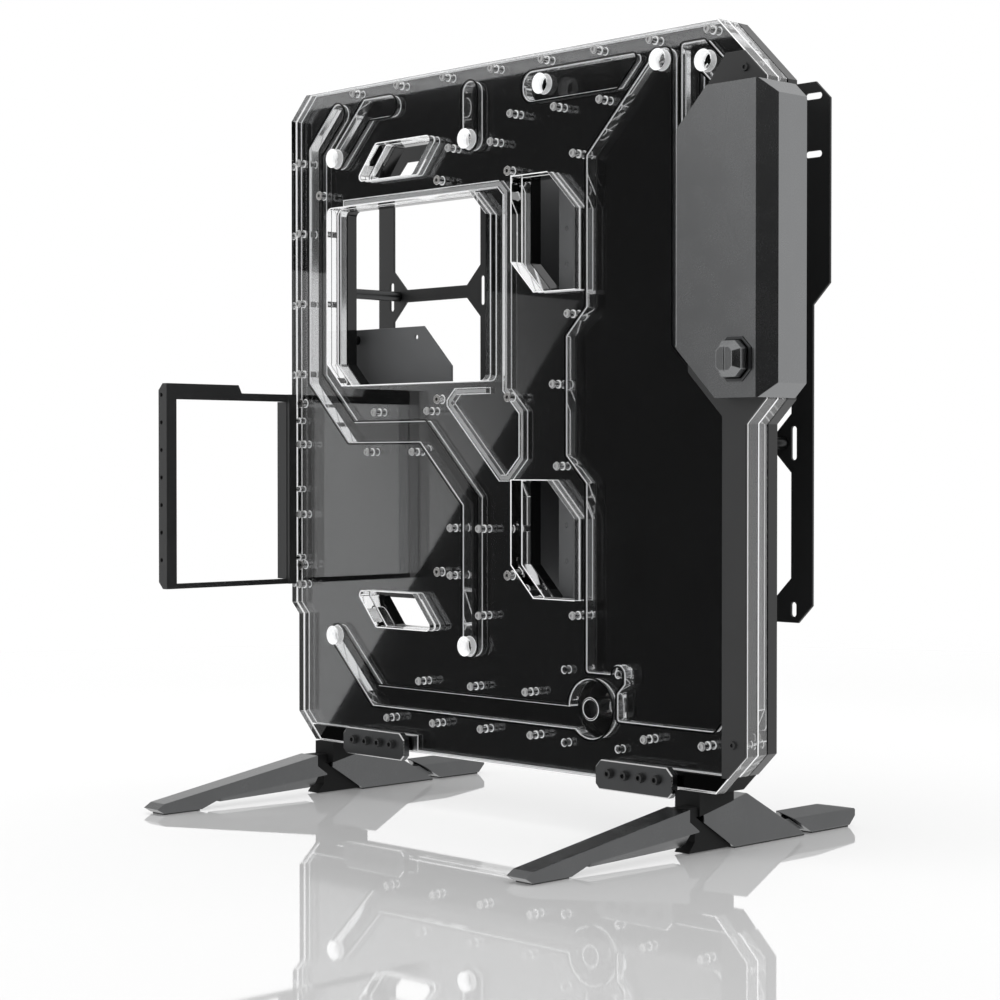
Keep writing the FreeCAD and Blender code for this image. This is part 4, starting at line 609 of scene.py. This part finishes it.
class Assembly(Graph):
    """A geometry tree that puts copies of one shape on the points it is given."""

    def __init__(self, name, sizes):
        super().__init__(bpy.data.node_groups.new(name, "GeometryNodeTree"))
        self.add_socket("Points", "NodeSocketGeometry")
        self.add_socket("Finish", "NodeSocketMaterial")
        self.add_socket("Second Finish", "NodeSocketMaterial")
        for size in sizes + ["Turn"]:
            self.add_socket(size, "NodeSocketFloat")
        self.add_socket("Geometry", "NodeSocketGeometry", "OUTPUT")
        self.given = self.tree.nodes.new("NodeGroupInput")

    def add_socket(self, name, kind, way="INPUT"):
        self.tree.interface.new_socket(name, in_out=way, socket_type=kind)

    def size(self, name):
        return Field(self, self.given.outputs[name])

    def vector(self, x=0.0, z=0.0):
        return self.node("ShaderNodeCombineXYZ", inputs={"X": x, "Z": z})

    def raised(self, shape, height):
        inputs = {"Geometry": shape, "Translation": self.vector(z=height)}
        return self.node("GeometryNodeTransform", inputs=inputs)

    def copies(self, shape, points, turn=0.0):
        inputs = {"Points": points, "Instance": shape, "Rotation": self.vector(x=turn)}
        return self.node("GeometryNodeInstanceOnPoints", inputs=inputs)

    def deliver(self, shape):
        """Put the shape on every given point, make the copies real and finish them."""
        placed = self.copies(shape, self.size("Points"), self.size("Turn"))
        real = self.node("GeometryNodeRealizeInstances", inputs={"Geometry": placed})
        inputs = {"Geometry": real, "Material": self.size("Finish")}
        dressed = self.node("GeometryNodeSetMaterial", inputs=inputs)
        marked = self.node("GeometryNodeInputNamedAttribute", {"data_type": "BOOLEAN"}, {"Name": MARK})
        inputs = {"Geometry": dressed, "Selection": marked, "Material": self.size("Second Finish")}
        dressed = self.node("GeometryNodeSetMaterial", inputs=inputs)
        self.connect(dressed, self.tree.nodes.new("NodeGroupOutput").inputs[0])

    def marked(self, shape):
        """Shape whose faces take the second finish."""
        settings = {"data_type": "BOOLEAN", "domain": "FACE"}
        inputs = {"Geometry": shape, "Name": MARK, "Value": True}
        return self.node("GeometryNodeStoreNamedAttribute", settings, inputs)


print("geometry trees: inputs Points, Finish, Second Finish and sizes")

# %% [markdown]
# ## Running a tree
# A modifier runs the tree on a mesh of bare points. Its inputs are set by their
# identifiers before it is first evaluated. The result is kept as a plain mesh
# and the modifier goes, so that the piece needs nothing else.

# %% Turn a tree into a mesh
def assembled(name, assembly, places, values):
    """Run an assembly on a list of places and keep the result as a plain mesh."""
    points = bpy.data.meshes.new(name + "_points")
    points.from_pydata(places, [], [])
    piece = bpy.data.objects.new(name, points)
    bpy.context.scene.collection.objects.link(piece)
    modifier = piece.modifiers.new("assembly", "NODES")
    modifier.node_group = assembly.tree
    for socket in assembly.tree.interface.items_tree:
        if socket.name in values:
            modifier[socket.identifier] = values[socket.name]
    graph = bpy.context.evaluated_depsgraph_get()
    piece.data = bpy.data.meshes.new_from_object(piece.evaluated_get(graph))
    piece.modifiers.clear()
    bpy.data.meshes.remove(points)
    return piece


print("assembly runner ready")

# %% [markdown]
# ## Screws from one recipe
# The case has eight sorts of screws, and all have a socket in the head and a
# thread on the shank. One tree makes such a screw from four sizes: a cone for
# the head, less a hexagon for the key, and a stack of thin cones for the thread.
# A true helix would look the same at this size and need more faces.

# %% Make the screw
HEAD_SIDES = 20
SHANK_SIDES = 12
# Shares of the head's radius, and of its height for the cutter of the socket
HEAD_TAPER = 0.86
KEY_RADIUS = 0.52
KEY_CUTTER = 1.3
# Shares of the shank's radius, and of the pitch for the height of a ridge
THREAD_PITCH = 0.35
THREAD_ROOT = 0.78
CORE_RADIUS = 0.8
RIDGE_HEIGHT = 0.9


def socket_screw():
    """Head with a key socket, and a threaded shank below it."""
    tree = Assembly("socket_screw", ["Head Radius", "Head Height", "Shank Radius", "Shank Length"])
    head_radius = tree.size("Head Radius")
    head_height = tree.size("Head Height")
    shank = tree.size("Shank Radius")
    length = tree.size("Shank Length")
    cone = {"Vertices": HEAD_SIDES, "Radius Top": head_radius * HEAD_TAPER,
            "Radius Bottom": head_radius, "Depth": head_height}
    head = tree.node("GeometryNodeMeshCone", inputs=cone)
    key = {"Vertices": 6, "Radius": head_radius * KEY_RADIUS, "Depth": head_height * KEY_CUTTER}
    hexagon = tree.raised(tree.node("GeometryNodeMeshCylinder", inputs=key), head_height)
    cut = {"Mesh 1": head, "Mesh 2": hexagon}
    socketed = tree.node("GeometryNodeMeshBoolean", {"operation": "DIFFERENCE"}, cut)
    pitch = shank * THREAD_PITCH
    ring = {"Vertices": SHANK_SIDES, "Radius Top": shank, "Radius Bottom": shank * THREAD_ROOT,
            "Depth": pitch * RIDGE_HEIGHT}
    ridge = tree.node("GeometryNodeMeshCone", inputs=ring)
    turns = {"Count": length / pitch - 1, "Start Location": tree.vector(z=length * -1),
             "Offset": tree.vector(z=pitch)}
    thread = tree.copies(ridge, tree.node("GeometryNodeMeshLine", inputs=turns))
    core = {"Vertices": SHANK_SIDES, "Radius": shank * CORE_RADIUS, "Depth": length}
    rod = tree.raised(tree.node("GeometryNodeMeshCylinder", inputs=core), length * -0.5)
    thread = tree.node("GeometryNodeRealizeInstances", inputs={"Geometry": thread})
    shaft = tree.node("GeometryNodeJoinGeometry", inputs={"Geometry": [thread, rod]})
    parts = [socketed, tree.marked(shaft)]
    tree.deliver(tree.node("GeometryNodeJoinGeometry", inputs={"Geometry": parts}))
    return tree


SOCKET_SCREW = socket_screw()
print("screw tree:", len(SOCKET_SCREW.tree.nodes), "nodes")

# %% [markdown]
# ## Where the screws sit
# A node of screws is one mesh with a separate island for every screw. The widest
# points of an island are its head, and the end at which they lie tells which way
# the screw points. That gives places, sizes and turn, so the new screws sit where
# the CAD model has them and no number has to be copied by hand.

# %% Measure the CAD screws and replace them
# Shares of the head's radius: nearer points are left out, farther ones are the head
AXIS_SHARE = 0.3
HEAD_SHARE = 0.95


def islands(shape):
    """Groups of joined vertices, as lists of points."""
    left = set(shape.verts)
    while left:
        island = [left.pop()]
        for vertex in island:
            near = {edge.other_vert(vertex) for edge in vertex.link_edges} & left
            left -= near
            island.extend(near)
        yield [vertex.co.copy() for vertex in island]


def measured_screws(node_name):
    """Seats under the heads, and sizes and turn; all screws of a node are alike."""
    shape = merged_copy(node_name)
    seats = []
    for points in islands(shape):
        low = [min(point[axis] for point in points) for axis in range(3)]
        high = [max(point[axis] for point in points) for axis in range(3)]
        centre = Vector((low[0] + high[0], low[2] + high[2])) / 2
        reach = [(point.y, (point.xz - centre).length) for point in points]
        wide = max(radius for depth, radius in reach)
        narrow = min(radius for depth, radius in reach if radius > wide * AXIS_SHARE)
        heads = [depth for depth, radius in reach if radius > wide * HEAD_SHARE]
        front_head = min(heads) - low[1] < high[1] - max(heads)
        seat = max(heads) if front_head else min(heads)
        seats.append((centre.x, seat, centre.y))
    shape.free()
    head_height = max(heads) - min(heads)
    return seats, {
        "Head Radius": wide, "Head Height": head_height, "Shank Radius": narrow,
        "Shank Length": high[1] - low[1] - head_height,
        "Turn": math.radians(90 if front_head else -90),
    }


for name in NODE_FINISH:
    if name.endswith("_screws"):
        seats, values = measured_screws(name)
        values["Finish"] = NODE_FINISH[name]
        values["Second Finish"] = STEEL
        take_over(assembled(name + "_piece", SOCKET_SCREW, seats, values), name)

# %% [markdown]
# ## Threads in the ports
# Fittings screw into the round ports of the clear sheet. The thread is one
# ridge that climbs as a helix, so a spiral curve with a three-sided profile
# makes it, once for every round hole of the port's size.

# %% Wind a thread into every port
PORT_PITCH = 1.337 * MM
RIDGE_SHARE = 0.4


def port_thread():
    """Three-sided ridge along a helix."""
    tree = Assembly("port_thread", ["Radius", "Pitch", "Rounds"])
    radius = tree.size("Radius")
    pitch = tree.size("Pitch")
    rounds = tree.size("Rounds")
    path = tree.node("GeometryNodeCurveSpiral", inputs={
        "Resolution": 36, "Rotations": rounds, "Start Radius": radius,
        "End Radius": radius, "Height": pitch * rounds})
    profile = {"Resolution": 3, "Radius": pitch * RIDGE_SHARE}
    ridge = tree.node("GeometryNodeCurvePrimitiveCircle", inputs=profile)
    swept = {"Curve": path, "Profile Curve": ridge, "Fill Caps": True}
    tree.deliver(tree.node("GeometryNodeCurveToMesh", inputs=swept))
    return tree


def port_places(node_name):
    """Centres on the front face, radius and depth of a sheet's ports."""
    loops, front, back = outline_loops(node_name)
    loops = [loop for loop in loops if is_port(loop)]
    centres = [middle_of(loop) for loop in loops]
    radius = (loops[0][0] - centres[0]).length
    return [(centre.x, front, centre.y) for centre in centres], radius, back - front


ports, port_radius, port_depth = port_places("front_clear_sheet")
values = {
    "Radius": port_radius - PORT_PITCH * RIDGE_SHARE, "Pitch": PORT_PITCH,
    "Rounds": (port_depth - 2 * PORT_PITCH) / PORT_PITCH, "Turn": math.radians(-90),
    "Finish": FROSTED, "Second Finish": FROSTED,
}
ports = [(x, y + PORT_PITCH, z) for x, y, z in ports]
threads = assembled("port_threads", port_thread(), ports, values)
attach(threads, "case")
print("ports:", len(ports), "thread faces:", len(threads.data.polygons))

# %% [markdown]
# ## White world and soft lamps
# The background is white. A world of strength 1 would also light the case, and
# too much, so it is white only for rays that look straight at it, mirror it or
# pass through glass, and dimmer as a lamp. Two soft boxes shape the case. They
# are hidden from mirrors, because a bright patch in the floor would distract.

# %% Set the world and the lamps
AMBIENT = 0.75


def white_world(ambient):
    """White where it is looked at, mirrored or seen through; dimmer as a lamp."""
    world = bpy.data.worlds.new("studio")
    bpy.context.scene.world = world
    world.use_nodes = True
    graph = Graph(world.node_tree)
    path = graph.tree.nodes.new("ShaderNodeLightPath")
    rays = ("Is Camera Ray", "Is Glossy Ray", "Is Transmission Ray")
    seen = sum(Field(graph, path.outputs[ray]) for ray in rays)
    inputs = {"Value": seen, "To Min": ambient, "To Max": 1.0}
    strength = graph.node("ShaderNodeMapRange", {"clamp": True}, inputs)
    background = graph.tree.nodes["Background"]
    background.inputs["Color"].default_value = tone(1.0)
    graph.connect(strength, background.inputs["Strength"])


def soft_box(name, place, aim, width, height, radiance):
    """Area lamp of even brightness that faces a point and shows in no mirror."""
    lamp = bpy.data.lights.new(name, "AREA")
    lamp.shape = "RECTANGLE"
    lamp.size = width
    lamp.size_y = height
    lamp.energy = radiance * math.pi * width * height
    holder = bpy.data.objects.new(name, lamp)
    facing = (Vector(place) - Vector(aim)).to_track_quat("Z", "Y").to_matrix().to_4x4()
    holder.matrix_world = Matrix.Translation(place) @ facing
    holder.visible_glossy = False
    holder.visible_transmission = False
    bpy.context.scene.collection.objects.link(holder)


white_world(AMBIENT)
soft_box("key", place=(-1.9, -1.6, 0.75), aim=(0.0, 0.0, 0.3), width=1.4, height=1.6, radiance=0.9)
soft_box("top", place=(0.2, -0.3, 2.2), aim=(0.0, 0.0, 0.2), width=1.8, height=1.8, radiance=0.7)
bpy.context.scene.view_settings.view_transform = "Standard"
print("lamps:", len(bpy.data.lights))

# %% [markdown]
# ## Pale floor
# The floor is white and slightly mirrors the case. A part that is metal gives
# an even mirror, where a plain varnish would mirror at shallow angles only. The
# mirror is kept to the floor round the case, and far out the floor itself fades
# into the white world, so that no horizon shows.

# %% Lay the floor
FLOOR_HALF = 3.0
FLOOR_FADE = (0.8, 2.4)
MIRROR_SHARE = 0.32
MIRROR_FADE = (0.55, 1.1)


def studio_sheet(name, corners):
    """Flat sheet with four corners that belongs to the studio, not to the case."""
    mesh = bpy.data.meshes.new(name)
    mesh.from_pydata(corners, [], [(0, 1, 2, 3)])
    sheet = bpy.data.objects.new(name, mesh)
    bpy.context.scene.collection.objects.link(sheet)
    return sheet


def pale_floor():
    """White floor with a faint mirror, fading into the white world far out."""
    finish = Finish("pale_floor", {
        "Base Color": tone(0.95),
        "Roughness": 0.03,
        "IOR": 1.2,
        "Emission Color": tone(1.0),
        "Emission Strength": 0.1,
    })
    far = finish.distance(Vector((0, 0, 0)))
    finish.feed("Alpha", 1 - finish.eased(far, *FLOOR_FADE))
    finish.feed("Metallic", MIRROR_SHARE - finish.eased(far, *MIRROR_FADE) * MIRROR_SHARE)
    return finish.material


floor = studio_sheet("floor", [(-FLOOR_HALF, -FLOOR_HALF, 0), (FLOOR_HALF, -FLOOR_HALF, 0),
                               (FLOOR_HALF, FLOOR_HALF, 0), (-FLOOR_HALF, FLOOR_HALF, 0)])
floor.data.materials.append(pale_floor())
floor.visible_glossy = False
floor.visible_transmission = False
print("floor half width:", FLOOR_HALF)

# %% [markdown]
# ## What the glossy plate mirrors
# A glossy black plate shows what stands in front of it, so its look is made by
# cards in front. One keeps the plate dark, one shows as a grey wedge, and one
# darkens the bevel of the front panel. All else mirrors white, so edges shine.
# The first two are placed by the part of the plate that they should fill: lines
# from the mirrored camera through that part run on to them. The third stands
# upright. All hang far away, because near ones would show in the floor as well.

# %% Aim the cards
MIRRORED_EYE = Vector((CAMERA_PLACE.x, -CAMERA_PLACE.y, CAMERA_PLACE.z))


def thrown(outline_mm, reach):
    """Points just before the plate, thrown from the mirrored camera to a far place."""
    spots = [Vector((x * MM, 0, z * MM)) for x, z in outline_mm]
    return [MIRRORED_EYE + (spot - MIRRORED_EYE) * reach for spot in spots]


def upright(middle, side, high):
    """Corners of an upright card."""
    rise = Vector((0, 0, high))
    return [middle - side - rise, middle + side - rise, middle + side + rise, middle - side + rise]


def card(name, corners, finish):
    """Screen that shows only in reflections and through glass."""
    screen = studio_sheet(name, corners)
    screen.data.materials.append(finish.material)
    screen.visible_camera = False
    screen.visible_diffuse = False
    screen.visible_shadow = False
    print(name, "hangs at", [round(value, 1) for value in corners[0]])


# Outlines before the plate in millimetres, from the middle of the case and the floor
DARK_PART = [(-280, 0), (300, 0), (300, 520), (-280, 520)]
WEDGE_PART = [(75, 360), (-350, -137), (-450, 200), (-350, 415)]
DARK_CORNERS = thrown(DARK_PART, reach=10)
WEDGE_CORNERS = thrown(WEDGE_PART, reach=9)
print("cards aimed from", [round(value, 2) for value in MIRRORED_EYE])

# %% [markdown]
# ## Cloth of the cards
# The cloths reflect nothing, and glow where the plate should look grey. The
# wedge is dim at its tip and grows brighter, as the light of a soft box does. The
# cloth behind the camera fades out at its rim, so that its edge shows nowhere.

# %% Hang the cards
BLACK_CLOTH = {"Base Color": tone(0.0), "Specular IOR Level": 0.0}
COVER_MIDDLE = Vector((7.8, -7.7, 0.3))
COVER_WIDE = 9.5
COVER_HIGH = 5.4
COVER_FADE = (0.6, 1.0)
WEDGE_RISE = (0.0, 2.6)

dim_cloth = Finish("dim_cloth", BLACK_CLOTH | {"Emission Color": tone(1.0), "Emission Strength": 0.05})
card("plate_card", DARK_CORNERS, dim_cloth)

bright_cloth = Finish("bright_cloth", BLACK_CLOTH | {"Emission Strength": 1.0})
rise = bright_cloth.eased(bright_cloth.distance(WEDGE_CORNERS[0]), *WEDGE_RISE)
bright_cloth.feed("Emission Color", bright_cloth.shade(rise, tone(0.2), tone(0.72)))
card("bright_wedge", WEDGE_CORNERS, bright_cloth)

dark_cloth = Finish("dark_cloth", BLACK_CLOTH)
ellipse = Vector((1 / COVER_WIDE, 1 / COVER_WIDE, 1 / COVER_HIGH))
far = dark_cloth.distance(COVER_MIDDLE, ellipse)
dark_cloth.feed("Alpha", 1 - dark_cloth.eased(far, *COVER_FADE))
card("cover_card", upright(COVER_MIDDLE, VIEW_RIGHT * COVER_WIDE, COVER_HIGH), dark_cloth)

# %% [markdown]
# ## End
# The script ends with a short line on the console.

# %% Finish
print("scene built")
